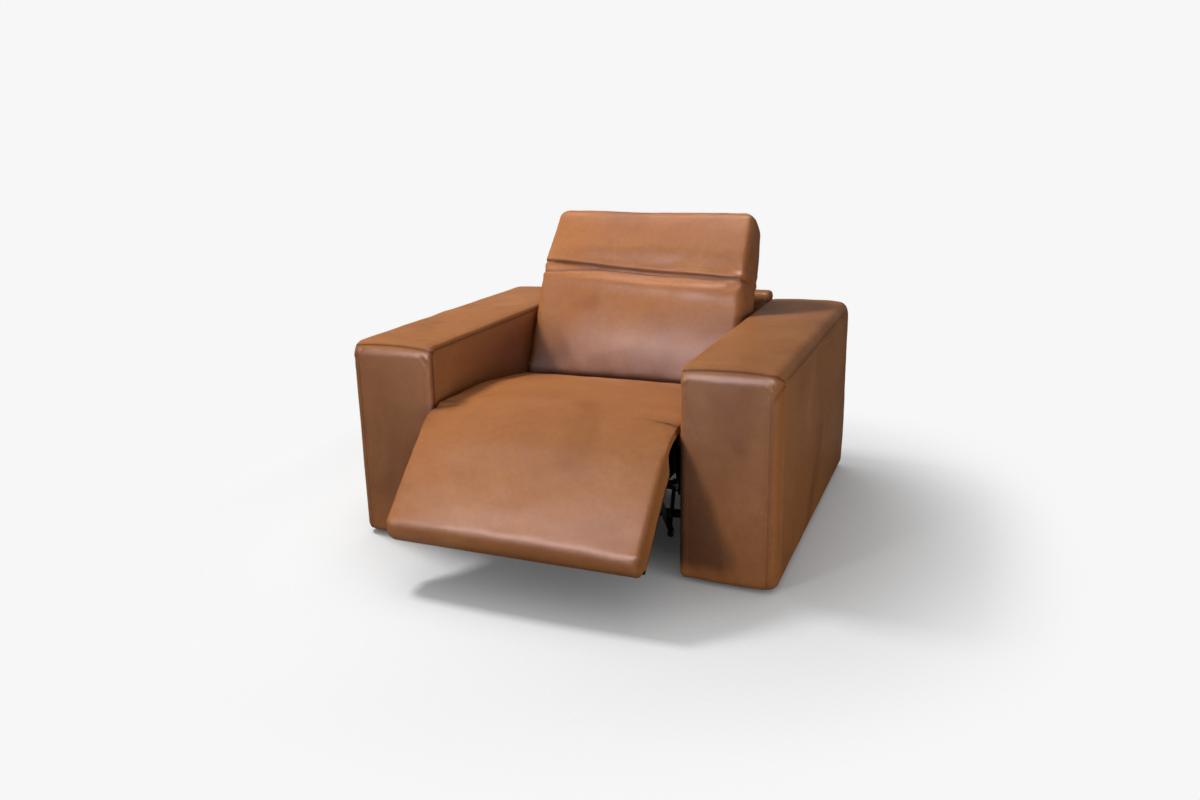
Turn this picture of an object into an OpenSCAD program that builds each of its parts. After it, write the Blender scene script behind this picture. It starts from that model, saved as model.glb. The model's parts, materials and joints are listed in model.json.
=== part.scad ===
// Power recliner armchair: two wide block arms and an outside back form a fixed shell,
// and a seat with a chaise footrest, a reclining back and a tilting headrest works inside it.
// Units are millimetres. +X is the sitter's left, -Y is the front and Z is up.

/* [Shell] */
// Width over both arms
overall_w = 1210; // [1100:5:1400]
// Width of one arm
arm_w = 250; // [200:5:300]
// Depth of the arms from front to rear
arm_d = 1060; // [1000:5:1200]
// Height of the arms above the floor
arm_h = 570; // [530:5:680]
// Height of the glide feet under the arms
foot_h = 12; // [8:1:30]
// Radius of the arm's front, top and bottom corners in side view
arm_corner_r = 28; // [10:1:60]
// Radius of the arm's upper rear corner in side view
arm_rear_r = 60; // [20:1:90]
// Thickness of the outside back
outer_back_t = 75; // [60:1:100]
// How far the outside back rises above the arms
outer_back_rise = 36; // [0:1:80]

/* [Upholstery] */
// Thickness of the leather
leather_t = 2; // [1:0.5:3]
// Thickness of the foam on the arms
arm_foam_t = 18; // [10:1:30]
// Clearance between layers that only touch
layer_gap = 0.3; // [0.1:0.1:1]
// Gap between the moving seat and each arm
side_gap = 5; // [3:0.5:10]

/* [Seat] */
// Height of the seat's front edge above the floor
seat_h = 415; // [400:5:470]
// Thickness of the seat foam with its cover
seat_t = 90; // [80:2:120]
// Depth of the seat from the footrest hinge to the back
seat_d = 556; // [520:2:600]
// Fall of the seat from front to rear
seat_fall = 25; // [20:1:60]
// How far the seat runs forward as the back lies down
glide = 140; // [130:1:160]

/* [Footrest] */
// Length of the footrest from its hinge
footrest_l = 350; // [300:1:352]
// Thickness of the footrest foam with its cover
footrest_t = 75; // [60:1:85]
// Slope of the footrest below the horizontal as modelled
footrest_slope = 44; // [40:1:46]
// Radius of the footrest's front corners
footrest_r = 30; // [10:1:34]

/* [Back] */
// Lean of the back from the vertical as modelled
back_tilt = 21.5; // [15:0.5:25]
// Height along the back from its hinge to the headrest's hinge
back_l = 355; // [320:5:400]
// Height of the headrest above its hinge
headrest_l = 210; // [180:5:260]
// Extra lean of the headrest behind the line of the back
headrest_set = 9; // [0:1:14]
// Distance the back lies down, in degrees
recline = 28; // [20:1:28]

/* [Steel] */
// Thickness of the mechanism's plates and bars
plate_t = 4; // [3:0.5:5]
// Radius of the hinge pins
pin_r = 5; // [4:0.5:6]
// Radial clearance of a pin in its hole
pin_gap = 0.1; // [0.05:0.05:0.3]
// Outer diameter of the cross tubes
tube_d = 25; // [20:1:30]
// Wall of the cross tubes
tube_wall = 2; // [1.5:0.5:3]

/* [Controls] */
// Length of the control panel along the arm
panel_l = 132; // [120:2:160]
// Height of the control panel
panel_h = 40; // [36:2:60]
// Travel of a push button
button_travel = 1.5; // [1:0.5:3]

/* [Hidden] */
$fn = 48;

// Shell places
half_w = overall_w / 2;
arm_in = half_w - arm_w;
seat_half = arm_in - side_gap;
foot_line = footrest_l - footrest_r;
surface_to_hinge = seat_t / 2;
hinge_set = -8;
foot_reach = -hinge_set + foot_line * cos(footrest_slope)
    + (surface_to_hinge - footrest_r) * sin(footrest_slope) + footrest_r;
// Y of the arms' front faces, chosen so that the origin is at the middle of the whole length
front = -(arm_d - foot_reach) / 2;
rear = front + arm_d;
outer_back_in = rear - outer_back_t;
outer_back_h = arm_h + outer_back_rise;
outer_back_low = 60;
skin = leather_t + layer_gap;
ply_t = 18;

// Hinges as [Y, Z]
foot_hinge = [front + hinge_set, seat_h - surface_to_hinge];
crank_pivot = foot_hinge + [120, -150];
back_hinge = [foot_hinge[0] + seat_d + 112, foot_hinge[1] - 40];
seat_end = foot_hinge[0] + seat_d;
seat_slope = atan(seat_fall / seat_d);
head_hinge = [-20, back_l];

// Footrest linkage: a parallelogram of bracket, crank and link
lever_along = 110;
lever_down = 58;
lever = [-lever_along * cos(footrest_slope) + lever_down * sin(footrest_slope),
         -lever_along * sin(footrest_slope) - lever_down * cos(footrest_slope)];
link_low = crank_pivot + lever;
link_high = foot_hinge + lever;
eye_r = 13;

// Layers of the mechanism across X, from the arm inwards
layer_step = plate_t + 2;
channel_out = arm_in - layer_gap;
channel_w = 22;
channel_h = 34;
channel_z = 232;
channel_t = 3;
track_x = channel_out - 20;
plate_x = arm_in - 29 - plate_t;
bracket_x = plate_x - layer_step;
link_x = bracket_x - layer_step;
crank_x = link_x - layer_step;
rail_x = crank_x - 4;

// Footrest board and brackets, below the pad
pad_low = footrest_t - surface_to_hinge;
board_t = 12;
pad_start = surface_to_hinge + 3;

// Back: local Y runs rearwards and local Z up along the back, from the back's hinge
back_front = -98;
back_rear = 52;
back_low = -4;
frame_half = 20;
head_chamfer = 20;
head_gap = 7;
yoke_x = 30;
yoke_foot = 3;
back_half = seat_half - 2;

// Recline track: the guide pin rides on a lever behind the back's hinge
guide_l = 110;
glide_per_degree = glide / recline;

// Actuators
drive_r = 50;
drive_pin_r = 5;
rail_z = crank_pivot[1] - 80;
rail_size = 24;
foot_motor_x = -60;
nut_x = 150;
nut_y = front + 590;
head_lever_r = 30;
head_tilt = 35;

function turned(p, a) = [p[0] * cos(a) - p[1] * sin(a), p[0] * sin(a) + p[1] * cos(a)];
function seat_drop(y) = (y - foot_hinge[0]) * seat_fall / seat_d;
function guide_at(a) = [back_hinge[0] - glide_per_degree * a + guide_l * cos(a),
                        back_hinge[1] - guide_l * sin(a)];

// A plate of a given thickness from a 2D shape drawn in Y and Z
module yz_plate(x, t) {
    translate([x, 0, 0]) rotate([90, 0, 90]) linear_extrude(t) children();
}

// A round pin, tube or eye along X with its centre at p
module x_round(x, l, p, r) {
    translate([x, p[0], p[1]]) rotate([0, 90, 0]) cylinder(h = l, r = r);
}

// A flat bar between two points of the YZ plane, with round eyes a little wider than the bar
module bar_shape(p, q, r, waist = 0.6) {
    d = q - p;
    w = r - waist;
    translate(p) circle(r);
    translate(q) circle(r);
    translate(p) rotate(atan2(d[1], d[0])) translate([0, -w]) square([norm(d), 2 * w]);
}

// A rectangle with four rounded corners
module soft_rect(a, b, r) {
    translate([a[0] + r, a[1]]) square([b[0] - a[0] - 2 * r, b[1] - a[1]]);
    translate([a[0], a[1] + r]) square([b[0] - a[0], b[1] - a[1] - 2 * r]);
    for (x = [a[0] + r, b[0] - r], y = [a[1] + r, b[1] - r]) translate([x, y]) circle(r);
}

// The same pieces on the left and on the right
module both_sides() {
    children();
    mirror([1, 0, 0]) children();
}

module box_between(a, b) {
    translate(a) cube(b - a);
}

module cross_tube(p, half, wall = tube_wall) {
    difference() {
        x_round(-half, 2 * half, p, tube_d / 2);
        x_round(-half - 1, 2 * half + 2, p, tube_d / 2 - wall);
    }
}

// Places a child drawn in the footrest's own frame: -Y along the pad and Z out of its top
module on_footrest() {
    translate([0, foot_hinge[0], foot_hinge[1]]) rotate([footrest_slope, 0, 0]) children();
}

// Places a child drawn in the back's own frame
module on_back() {
    translate([0, back_hinge[0], back_hinge[1]]) rotate([-back_tilt, 0, 0]) children();
}

// Places a child drawn in the back's own frame, leaning with the headrest
module on_headrest() {
    on_back() translate([0, head_hinge[0], head_hinge[1]]) rotate([-headrest_set, 0, 0]) children();
}

// ---- Shell: arms, outside back and base ----

bolt_r = 4;
bolt_places = [front + 110, front + 330, front + 590];

module bolt_holes(gap) {
    for (y = bolt_places) x_round(channel_out - channel_t - 1, 60, [y, channel_z + channel_h / 2], bolt_r + gap);
}

// Block of the left arm, taken in by a distance all round
module arm_block(inset) {
    low = foot_h + inset;
    high = arm_h - inset;
    r = max(arm_corner_r - inset, 4);
    rr = max(arm_rear_r - inset, 4);
    yz_plate(arm_in + inset, arm_w - 2 * inset) difference() {
        soft_rect([front + inset, low], [rear - inset, high], r);
        // the upper rear corner has a larger radius
        translate([rear - inset - rr, high - rr]) difference() {
            square(rr + 1);
            circle(rr);
        }
    }
}

module control_pocket() {
    y = panel_y();
    box_between([arm_in - 1, y - panel_l / 2 - 0.2, panel_z() - panel_h / 2 - 0.2],
                [arm_in + skin + arm_foam_t - 1, y + panel_l / 2 + 0.2, panel_z() + panel_h / 2 + 0.2]);
}

module arm_cover(with_controls) {
    color("peru") difference() {
        arm_block(0);
        arm_block(leather_t);
        bolt_holes(0.3);
        if (with_controls) control_pocket();
    }
}

module arm_foam(with_controls) {
    color("lightyellow") difference() {
        arm_block(skin);
        arm_block(skin + arm_foam_t);
        bolt_holes(0.3);
        if (with_controls) control_pocket();
    }
}

module arm_frame() {
    in = skin + arm_foam_t + layer_gap;
    color("burlywood") difference() {
        arm_block(in);
        // room between the plywood panels
        for (part = [0, 1]) {
            y0 = front + in + ply_t + part * (arm_d - 2 * in - ply_t) / 2;
            y1 = y0 + (arm_d - 2 * in - ply_t) / 2 - ply_t;
            box_between([arm_in + in + ply_t, y0, foot_h + in + ply_t],
                        [half_w - in - ply_t, y1, arm_h - in - ply_t]);
        }
        bolt_holes(0.3);
    }
}

module arm_cover_left() { arm_cover(true); }
module arm_cover_right() { mirror([1, 0, 0]) arm_cover(false); }
module arm_foam_left() { arm_foam(true); }
module arm_foam_right() { mirror([1, 0, 0]) arm_foam(false); }
module arm_frame_left() { arm_frame(); }
module arm_frame_right() { mirror([1, 0, 0]) arm_frame(); }

module outer_back_block(inset) {
    half = arm_in - layer_gap - inset;
    yz_plate(-half, 2 * half)
        soft_rect([outer_back_in + inset, outer_back_low + inset], [rear - inset, outer_back_h - inset],
                  max(24 - inset, 3));
}

module outside_back_cover() {
    color("peru") difference() {
        outer_back_block(0);
        outer_back_block(leather_t + 10);
    }
}

module outside_back_frame() {
    in = leather_t + 10 + layer_gap;
    window = 90;
    color("burlywood") difference() {
        outer_back_block(in);
        for (s = [-1, 1])
            translate([s * (arm_in / 2 - 15) - (arm_in - window) / 2, outer_back_in, outer_back_low + window])
                cube([arm_in - window, outer_back_t, outer_back_h - outer_back_low - 2 * window]);
    }
}

module base_channel() {
    color("dimgray") difference() {
        box_between([channel_out - channel_w, front + 38, channel_z],
                    [channel_out, front + 640, channel_z + channel_h]);
        box_between([channel_out - channel_w - 1, front + 37, channel_z + channel_t],
                    [channel_out - channel_t, front + 641, channel_z + channel_h - channel_t]);
        bolt_holes(0.3);
    }
}

module base_channel_left() { base_channel(); }
module base_channel_right() { mirror([1, 0, 0]) base_channel(); }

// Plate with the sloping slot that lays the back down as the seat runs forward
module recline_track() {
    steps = 4;
    metal = 12;
    slot_r = pin_r + 1.1;
    base_z = channel_z + channel_h;
    color("dimgray") difference() {
        yz_plate(track_x, plate_t) union() {
            bar_shape(guide_at(0), guide_at(recline), metal);
            polygon([[front + 600, base_z], [front + 640, base_z], guide_at(0), guide_at(recline)]);
        }
        for (i = [0 : steps - 1])
            yz_plate(track_x - 1, plate_t + 2)
                bar_shape(guide_at(i * recline / steps), guide_at((i + 1) * recline / steps), slot_r);
    }
}

module recline_track_left() { recline_track(); }
module recline_track_right() { mirror([1, 0, 0]) recline_track(); }

front_tube = [front + 300, 60];
rear_tube = [front + 830, 90];
flange_t = 3;

module shell_tube(p) {
    color("dimgray") {
        cross_tube(p, arm_in - layer_gap - flange_t);
        both_sides() yz_plate(arm_in - layer_gap - flange_t, flange_t) difference() {
            translate(p) square([70, 50], center = true);
            for (s = [-1, 1]) translate(p + [s * 26, 0]) circle(3.5);
        }
    }
}

module front_cross_tube() { shell_tube(front_tube); }
module rear_cross_tube() { shell_tube(rear_tube); }

module frame_bolts() {
    color("silver") both_sides() for (y = bolt_places) {
        p = [y, channel_z + channel_h / 2];
        x_round(channel_out - channel_t - 2.5, 2.5, p, 8);
        x_round(channel_out - channel_t, 44, p, bolt_r);
    }
}

foot_r = 22;
foot_places = [front + 60, rear - 60];

module glide_feet() {
    color("#222222") both_sides() for (y = foot_places, x = [arm_in + 60, half_w - 60])
        translate([x, y, 0]) cylinder(h = foot_h, r = foot_r);
}

// ---- Recline drive, fixed to the base ----

nut_z = back_hinge[1] - 180;

module recline_rail() {
    start = nut_y - glide - 50;
    finish = nut_y + 100;
    color("silver") box_between([nut_x - rail_size / 2, start, nut_z - rail_size / 2],
                                [nut_x + rail_size / 2, finish, nut_z + rail_size / 2]);
}

module recline_motor() {
    start = nut_y + 100;
    color("#1c1c1c") {
        box_between([nut_x - 32, start, nut_z - 26], [nut_x + 32, start + 75, nut_z + 26]);
        translate([nut_x, start + 38, nut_z + 26]) cylinder(h = 44, r = 24);
        // clevis that hangs the gearbox on the rear cross tube
        difference() {
            box_between([nut_x - 12, start + 75, rear_tube[1] - 20], [nut_x + 12, rear_tube[0] + 20, nut_z + 20]);
            x_round(nut_x - 13, 26, rear_tube, tube_d / 2 + 0.1);
        }
    }
}

supply_at = [-230, front + 890, 62];

module power_supply() {
    color("#1c1c1c") difference() {
        translate(supply_at) cube([150, 70, 45]);
        translate(supply_at + [40, 52, 10]) cube([30, 19, 25]);
    }
    // strap down to the rear cross tube
    color("#1c1c1c") difference() {
        box_between([supply_at[0] + 60, rear_tube[0] - 17, rear_tube[1] - 17],
                    [supply_at[0] + 90, supply_at[1], rear_tube[1] + 17]);
        x_round(supply_at[0] + 59, 32, rear_tube, tube_d / 2 + 0.1);
    }
}

module power_inlet() {
    color("black") translate(supply_at + [40.3, 52.3, 10.3]) difference() {
        cube([29.4, 17, 24.4]);
        translate([4, 5, 4]) cube([21.4, 13, 16.4]);
    }
}

// ---- Controls on the inner face of the left arm ----

function panel_y() = front + 300;
function panel_z() = arm_h - 72;
button_w = 20;
button_h = 16;
button_y = [-45, -15, 15, 45];
bezel_t = 3;

module control_panel() {
    color("black") difference() {
        union() {
            box_between([arm_in - bezel_t, panel_y() - panel_l / 2 - 4, panel_z() - panel_h / 2 - 4],
                        [arm_in - layer_gap, panel_y() + panel_l / 2 + 4, panel_z() + panel_h / 2 + 4]);
            box_between([arm_in - layer_gap, panel_y() - panel_l / 2, panel_z() - panel_h / 2],
                        [arm_in + arm_foam_t - 4, panel_y() + panel_l / 2, panel_z() + panel_h / 2]);
        }
        for (y = button_y)
            box_between([arm_in - bezel_t - 1, panel_y() + y - button_w / 2 - 0.4, panel_z() - button_h / 2 - 0.4],
                        [arm_in + 9, panel_y() + y + button_w / 2 + 0.4, panel_z() + button_h / 2 + 0.4]);
    }
}

module push_button(i) {
    y = panel_y() + button_y[i];
    color("silver")
        box_between([arm_in - bezel_t - button_travel - 0.5, y - button_w / 2, panel_z() - button_h / 2],
                    [arm_in + 9 - button_travel - 0.5, y + button_w / 2, panel_z() + button_h / 2]);
}

module button_recline() { push_button(0); }
module button_return() { push_button(1); }
module button_head_up() { push_button(2); }
module button_head_down() { push_button(3); }

// ---- Seat ----

// Side profile of the seat, taken in by a distance all round
module seat_profile(inset) {
    r = surface_to_hinge - inset;
    difference() {
        bar_shape(foot_hinge, foot_hinge + [seat_d + 100, -seat_drop(seat_end + 100)], r);
        translate([seat_end - inset, 0]) square([400, seat_h]);
    }
}

// Pockets for the hinge plates and brackets at the seat's front corners
module hinge_pockets() {
    both_sides() box_between([link_x - 4, foot_hinge[0] - 60, foot_hinge[1] - 80],
                             [plate_x + plate_t + 6, foot_hinge[0] + 92, foot_hinge[1] + 25]);
}

module seat_block(inset) {
    yz_plate(-seat_half + inset, 2 * (seat_half - inset)) seat_profile(inset);
}

module seat_cover() {
    color("peru") difference() {
        seat_block(0);
        seat_block(leather_t);
        hinge_pockets();
    }
}

module seat_foam() {
    color("lightyellow") difference() {
        seat_block(skin);
        hinge_pockets();
    }
}

block_places = [front + 200, front + 530];
block_l = 50;

// Steel side plate that joins the footrest hinge, the crank, the slides and the back hinge
module seat_plate() {
    f = foot_hinge;
    b = back_hinge;
    low = channel_z - 17;
    under = f[1] - surface_to_hinge - 5;
    color("#1c1c1c") difference() {
        yz_plate(plate_x, plate_t) union() {
            bar_shape(f, f + [70, 0], 18);
            bar_shape(b, b - [66, 66], 16);
            translate(crank_pivot) circle(24);
            polygon([[f[0] + 62, f[1] - 70], crank_pivot + [-18, 6], crank_pivot - [10, 5], [b[0] - 90, low],
                     [b[0] - 62, b[1] - 45], [seat_end - 12, under - seat_fall],
                     [f[0] + 88, under - seat_drop(f[0] + 88)], f + [87, -4], f + [62, -4]]);
        }
        x_round(plate_x - 1, plate_t + 2, f, pin_r + pin_gap);
        x_round(plate_x - 1, plate_t + 2, b, pin_r + pin_gap);
        x_round(plate_x - 1, plate_t + 2, crank_pivot, pin_r + pin_gap);
        x_round(plate_x - 1, plate_t + 2, seat_tube, tube_d / 2 - tube_wall);
        for (y = block_places) x_round(plate_x - 1, plate_t + 2, [y, channel_z + channel_h / 2], 6.1);
        for (p = spacer_places) x_round(plate_x - 1, plate_t + 2, p, 4.1);
    }
}

seat_tube = [front + 552, channel_z - 1];
spacer_places = [[front + 250, channel_z + 28], [front + 480, channel_z + 22]];

module seat_plate_left() { seat_plate(); }
module seat_plate_right() { mirror([1, 0, 0]) seat_plate(); }

rail_t = 24;
rail_low = seat_tube[1] + tube_d / 2 + 0.5;
rail_start = foot_hinge[0] + 98;
rail_end = seat_end + 30;

// Hardwood frame under the seat foam, with its top cut to the seat's slope
module seat_rails() {
    top0 = foot_hinge[1] - surface_to_hinge - layer_gap;
    color("burlywood") difference() {
        yz_plate(-rail_x, 2 * rail_x)
            polygon([[rail_start, rail_low], [rail_end, rail_low], [rail_end, top0 - seat_drop(seat_end)],
                     [seat_end, top0 - seat_drop(seat_end)], [rail_start, top0 - seat_drop(rail_start)]]);
        box_between([-rail_x + rail_t, rail_start + rail_t, rail_low - 1],
                    [rail_x - rail_t, rail_end - rail_t, foot_hinge[1]]);
        both_sides() for (p = spacer_places) x_round(rail_x - rail_t - 1, rail_t + 2, p, 4.1);
    }
}

spring_wire = 1.8;
spring_pitch = 32;
spring_w = 50;
spring_gap = 10;
spring_count = floor(2 * (rail_x - rail_t - 4) / (spring_w + spring_pitch + 2 * spring_wire + spring_gap));

// One zigzag spring: straight wires across, joined by half rings
module zigzag_spring(runs) {
    r = spring_pitch / 2;
    for (i = [0 : runs - 1]) {
        translate([-spring_w / 2, i * spring_pitch, 0]) rotate([0, 90, 0]) cylinder(h = spring_w, r = spring_wire, $fn = 16);
        if (i < runs - 1)
            translate([(i % 2 == 0 ? 1 : -1) * spring_w / 2, i * spring_pitch + r, 0])
                rotate([0, 0, i % 2 == 0 ? -90 : 90])
                    rotate_extrude(angle = 180) translate([r, 0]) circle(spring_wire, $fn = 16);
    }
}

module seat_springs() {
    room = rail_end - rail_start - 2 * rail_t;
    runs = floor((room - 2 * spring_wire) / spring_pitch);
    span = (runs - 1) * spring_pitch;
    start = rail_start + rail_t + (room * cos(seat_slope) - span * cos(seat_slope)) / 2;
    step = 2 * (rail_x - rail_t - 20) / spring_count;
    z = foot_hinge[1] - surface_to_hinge - 5 - seat_drop(start);
    color("silver") for (i = [0 : spring_count - 1])
        translate([(i - (spring_count - 1) / 2) * step, start, z])
            rotate([-seat_slope, 0, 0]) zigzag_spring(runs);
}

module seat_rear_tube() {
    color("#1c1c1c") cross_tube(seat_tube, plate_x);
}

// Nylon blocks that carry the seat plates in the base channels
module slide_blocks() {
    clear = 0.5;
    color("ivory") both_sides() for (y = block_places) {
        box_between([plate_x + plate_t + 2, y - block_l / 2, channel_z + channel_t + clear],
                    [channel_out - channel_t - 3, y + block_l / 2, channel_z + channel_h - channel_t - clear]);
        x_round(plate_x - 3, plate_t + 5.5, [y, channel_z + channel_h / 2], 6);
    }
}

// Bracket on the seat's rear tube with the nut that the recline drive pushes
module recline_nut() {
    clear = 0.5;
    top = seat_tube[1] - 8;
    y = nut_y;
    color("#1c1c1c") difference() {
        union() {
            box_between([nut_x - 24, y - 22, nut_z - 22], [nut_x + 24, y + 22, nut_z + 22]);
            box_between([nut_x - 10, seat_tube[0] - 22, nut_z + 20], [nut_x + 10, y + 22, top + 24]);
        }
        box_between([nut_x - rail_size / 2 - clear, y - 23, nut_z - rail_size / 2 - clear],
                    [nut_x + rail_size / 2 + clear, y + 23, nut_z + rail_size / 2 + clear]);
        x_round(nut_x - 11, 22, seat_tube, tube_d / 2 + 0.1);
        // clear of the wooden rear rail
        box_between([nut_x - 11, y - 40, rail_low - 1], [nut_x + 11, y + 40, rail_low + 60]);
    }
}

// Footrest drive, hung under the seat between the front rail and the rear tube
drive_y0 = crank_pivot[0] - 62;
drive_y1 = crank_pivot[0] + 250;

module footrest_rail() {
    color("silver") box_between([foot_motor_x - rail_size / 2, drive_y0, rail_z - rail_size / 2],
                                [foot_motor_x + rail_size / 2, drive_y1, rail_z + rail_size / 2]);
}

module footrest_motor() {
    color("#1c1c1c") {
        box_between([foot_motor_x - 32, drive_y1, rail_z - 26], [foot_motor_x + 32, drive_y1 + 75, rail_z + 26]);
        translate([foot_motor_x + 32, drive_y1 + 38, rail_z]) rotate([0, 90, 0]) cylinder(h = 60, r = 24);
        difference() {
            box_between([foot_motor_x - 10, drive_y1 + 70, rail_z - 16],
                        [foot_motor_x + 10, seat_tube[0] + 18, seat_tube[1] + 12]);
            x_round(foot_motor_x - 11, 22, seat_tube, tube_d / 2 + 0.1);
        }
    }
}

// Hinge pins that turn in the seat plates' holes
module seat_pins() {
    color("silver") both_sides() {
        x_round(bracket_x - 3, plate_x + plate_t + 3 - bracket_x + 1, foot_hinge, pin_r);
        x_round(plate_x + plate_t + 1, 3, foot_hinge, 9);
        x_round(bracket_x - 3, plate_x + plate_t + 3 - bracket_x + 1, back_hinge, pin_r);
        x_round(plate_x + plate_t + 1, 3, back_hinge, 9);
    }
}

// ---- Footrest ----

module pad_block(inset) {
    half = seat_half - inset;
    on_footrest() yz_plate(-half, 2 * half)
        soft_rect([-footrest_l + inset, -pad_low + inset], [-pad_start - inset, surface_to_hinge - inset],
                  footrest_r - inset);
}

module footrest_cover() {
    color("peru") difference() {
        pad_block(0);
        pad_block(leather_t);
    }
}

module footrest_foam() {
    color("lightyellow") pad_block(skin);
}

board_top = -pad_low - layer_gap;
board_low = board_top - board_t;

module footrest_board() {
    color("burlywood") on_footrest()
        box_between([-seat_half + 12, -footrest_l + 22, board_low], [seat_half - 12, -pad_start - 8, board_top]);
}

bracket_l = 230;
bracket_h = 34;

// Steel bracket that carries the board, with the hinge eye and the link eye
module footrest_bracket() {
    top = board_low - layer_gap;
    color("#1c1c1c") on_footrest() difference() {
        union() {
            yz_plate(bracket_x, plate_t) {
                circle(14);
                translate([-lever_along, -lever_down]) circle(eye_r);
                polygon([[0, 14], [-14, 2], [-pad_start + 6, top], [-bracket_l, top], [-bracket_l, top - 12],
                         [-lever_along, -lever_down - eye_r], [-30, top - bracket_h / 2], [14, -2]]);
            }
            // foot under the board
            box_between([bracket_x - 18, -bracket_l, top - 3], [bracket_x, -lever_along - 30, top]);
        }
        x_round(bracket_x - 1, plate_t + 2, [0, 0], pin_r + pin_gap);
        x_round(bracket_x - 1, plate_t + 2, [-lever_along, -lever_down], pin_r + pin_gap);
    }
}

module footrest_bracket_left() { footrest_bracket(); }
module footrest_bracket_right() { mirror([1, 0, 0]) footrest_bracket(); }

module footrest_pins() {
    color("silver") both_sides() {
        x_round(link_x - 1, plate_t * 2 + 4, link_high, pin_r);
        x_round(link_x - 4, 3, link_high, 8);
    }
}

// ---- Torque tube, cranks and links ----

module torque_tube() {
    color("#1c1c1c") {
        cross_tube(crank_pivot, crank_x);
        both_sides() yz_plate(crank_x, plate_t) difference() {
            union() {
                bar_shape(crank_pivot, link_low, eye_r);
                translate(crank_pivot) circle(18);
            }
            translate(crank_pivot) circle(pin_r);
            translate(link_low) circle(pin_r);
        }
    }
}

// Lever at the middle of the torque tube with the pin that the drive pushes
module drive_lever() {
    p = crank_pivot - [0, drive_r];
    color("#1c1c1c") {
        difference() {
            for (s = [-1, 1]) yz_plate(foot_motor_x + s * 14 - plate_t / 2, plate_t) {
                bar_shape(crank_pivot, p, 9);
                translate(crank_pivot) circle(19);
            }
            x_round(foot_motor_x - 30, 60, crank_pivot, tube_d / 2);
        }
        x_round(foot_motor_x - 17, 34, p, drive_pin_r);
    }
}

module crank_pins() {
    color("silver") both_sides() {
        x_round(crank_x + 0.2, plate_x + plate_t + 2 - crank_x, crank_pivot, pin_r - 0.05);
        x_round(crank_x, plate_t + link_x + plate_t + 1 - crank_x - plate_t, link_low, pin_r - 0.05);
    }
}

module footrest_links() {
    color("#1c1c1c") both_sides() yz_plate(link_x, plate_t) difference() {
        bar_shape(link_low, link_high, eye_r);
        translate(link_low) circle(pin_r + pin_gap);
        translate(link_high) circle(pin_r + pin_gap);
    }
}

slot_play = 2;

// Nut block on the footrest drive's rail, with an upright slot for the lever's pin
module footrest_carriage() {
    clear = 0.5;
    y = crank_pivot[0];
    z = crank_pivot[1] - drive_r;
    color("ivory") difference() {
        union() {
            box_between([foot_motor_x - 20, y - 24, rail_z - 20], [foot_motor_x + 20, y + 24, rail_z + 14.5]);
            box_between([foot_motor_x - 9, y - 20, rail_z + 10], [foot_motor_x + 9, y + 20, z + 22]);
        }
        box_between([foot_motor_x - rail_size / 2 - clear, y - 25, rail_z - rail_size / 2 - clear],
                    [foot_motor_x + rail_size / 2 + clear, y + 25, rail_z + rail_size / 2 + clear]);
        box_between([foot_motor_x - 10, y - drive_pin_r - slot_play, z - drive_pin_r - 1],
                    [foot_motor_x + 10, y + drive_pin_r + slot_play, z + 23]);
    }
}

// ---- Back ----

// Side profile of the back in its own frame, taken in by a distance all round
module back_profile(inset) {
    top = head_hinge[1] - head_gap;
    drop = (head_hinge[0] - back_front) * tan(head_chamfer);
    r = 24;
    i = inset;
    translate([back_front + i, back_low + r]) square([40, 60]);
    translate([back_front + r, back_low + r]) circle(r - i);
    polygon([[back_front + r, back_low + i], [-frame_half - 2 - i, back_low + i], [-frame_half - 2 - i, 40 + i],
             [back_rear - i, 40 + i], [back_rear - i, top - i], [head_hinge[0], top - i],
             [back_front + i, top - drop - i], [back_front + i, back_low + r]]);
}

module back_block(inset) {
    on_back() yz_plate(-back_half + inset, 2 * (back_half - inset)) back_profile(inset);
}

module back_cover() {
    open_half = back_half - leather_t;
    color("peru") difference() {
        back_block(0);
        back_block(leather_t);
        // the back's cover is open below its frame
        on_back() box_between([-open_half, -frame_half + 0.5, 30], [open_half, back_rear - leather_t, 60]);
        on_back() box_between([-open_half, -frame_half - 3, 38], [open_half, -frame_half + 1, 48]);
        on_back() head_slot();
    }
}

// Room at the top of the back for the headrest's hinge and drive
module head_slot() {
    half = yoke_x + plate_t + 3;
    box_between([-half, head_hinge[0] - 16, back_l - 22], [half, head_hinge[0] + 50, back_l + 5]);
}

module back_foam() {
    color("lightyellow") difference() {
        back_block(skin);
        on_back() box_between([-seat_half, -frame_half - 2, -50], [seat_half, 100, back_l + 50]);
        on_back() head_slot();
    }
}

stile_x = bracket_x + plate_t;
stile_low = 52;
stile_high = back_l - 26;

module back_frame() {
    color("burlywood") on_back() difference() {
        union() {
        both_sides() box_between([stile_x + 0.2, -frame_half, stile_low], [back_half - skin, frame_half, stile_high]);
        box_between([-bracket_x + 0.2, -frame_half, stile_low], [bracket_x - 0.2, frame_half, stile_low + 40]);
        box_between([-stile_x - 1, -frame_half, stile_high - 40], [stile_x + 1, frame_half, stile_high]);
        // stretched rear panel
        box_between([-back_half + skin, frame_half, stile_low], [back_half - skin, frame_half + 6, stile_high]);
        }
        // way through the upper rail for the headrest's drive
        box_between([-19, -9, stile_high - 41], [19, frame_half - 0.1, stile_high + 1]);
    }
}

module back_brackets() {
    h = back_hinge;
    pin = guide_at(0);
    up = turned([0, 150], -back_tilt);
    color("#1c1c1c") both_sides() {
        difference() {
            yz_plate(bracket_x, plate_t) union() {
                bar_shape(h, h + up, 16);
                bar_shape(h, pin, 13);
            }
            x_round(bracket_x - 1, plate_t + 2, h, pin_r + pin_gap);
        }
        x_round(bracket_x + 1, track_x + plate_t - bracket_x, pin, pin_r);
    }
}

head_pin = head_hinge + turned([head_lever_r, 0], -head_tilt / 2);

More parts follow.
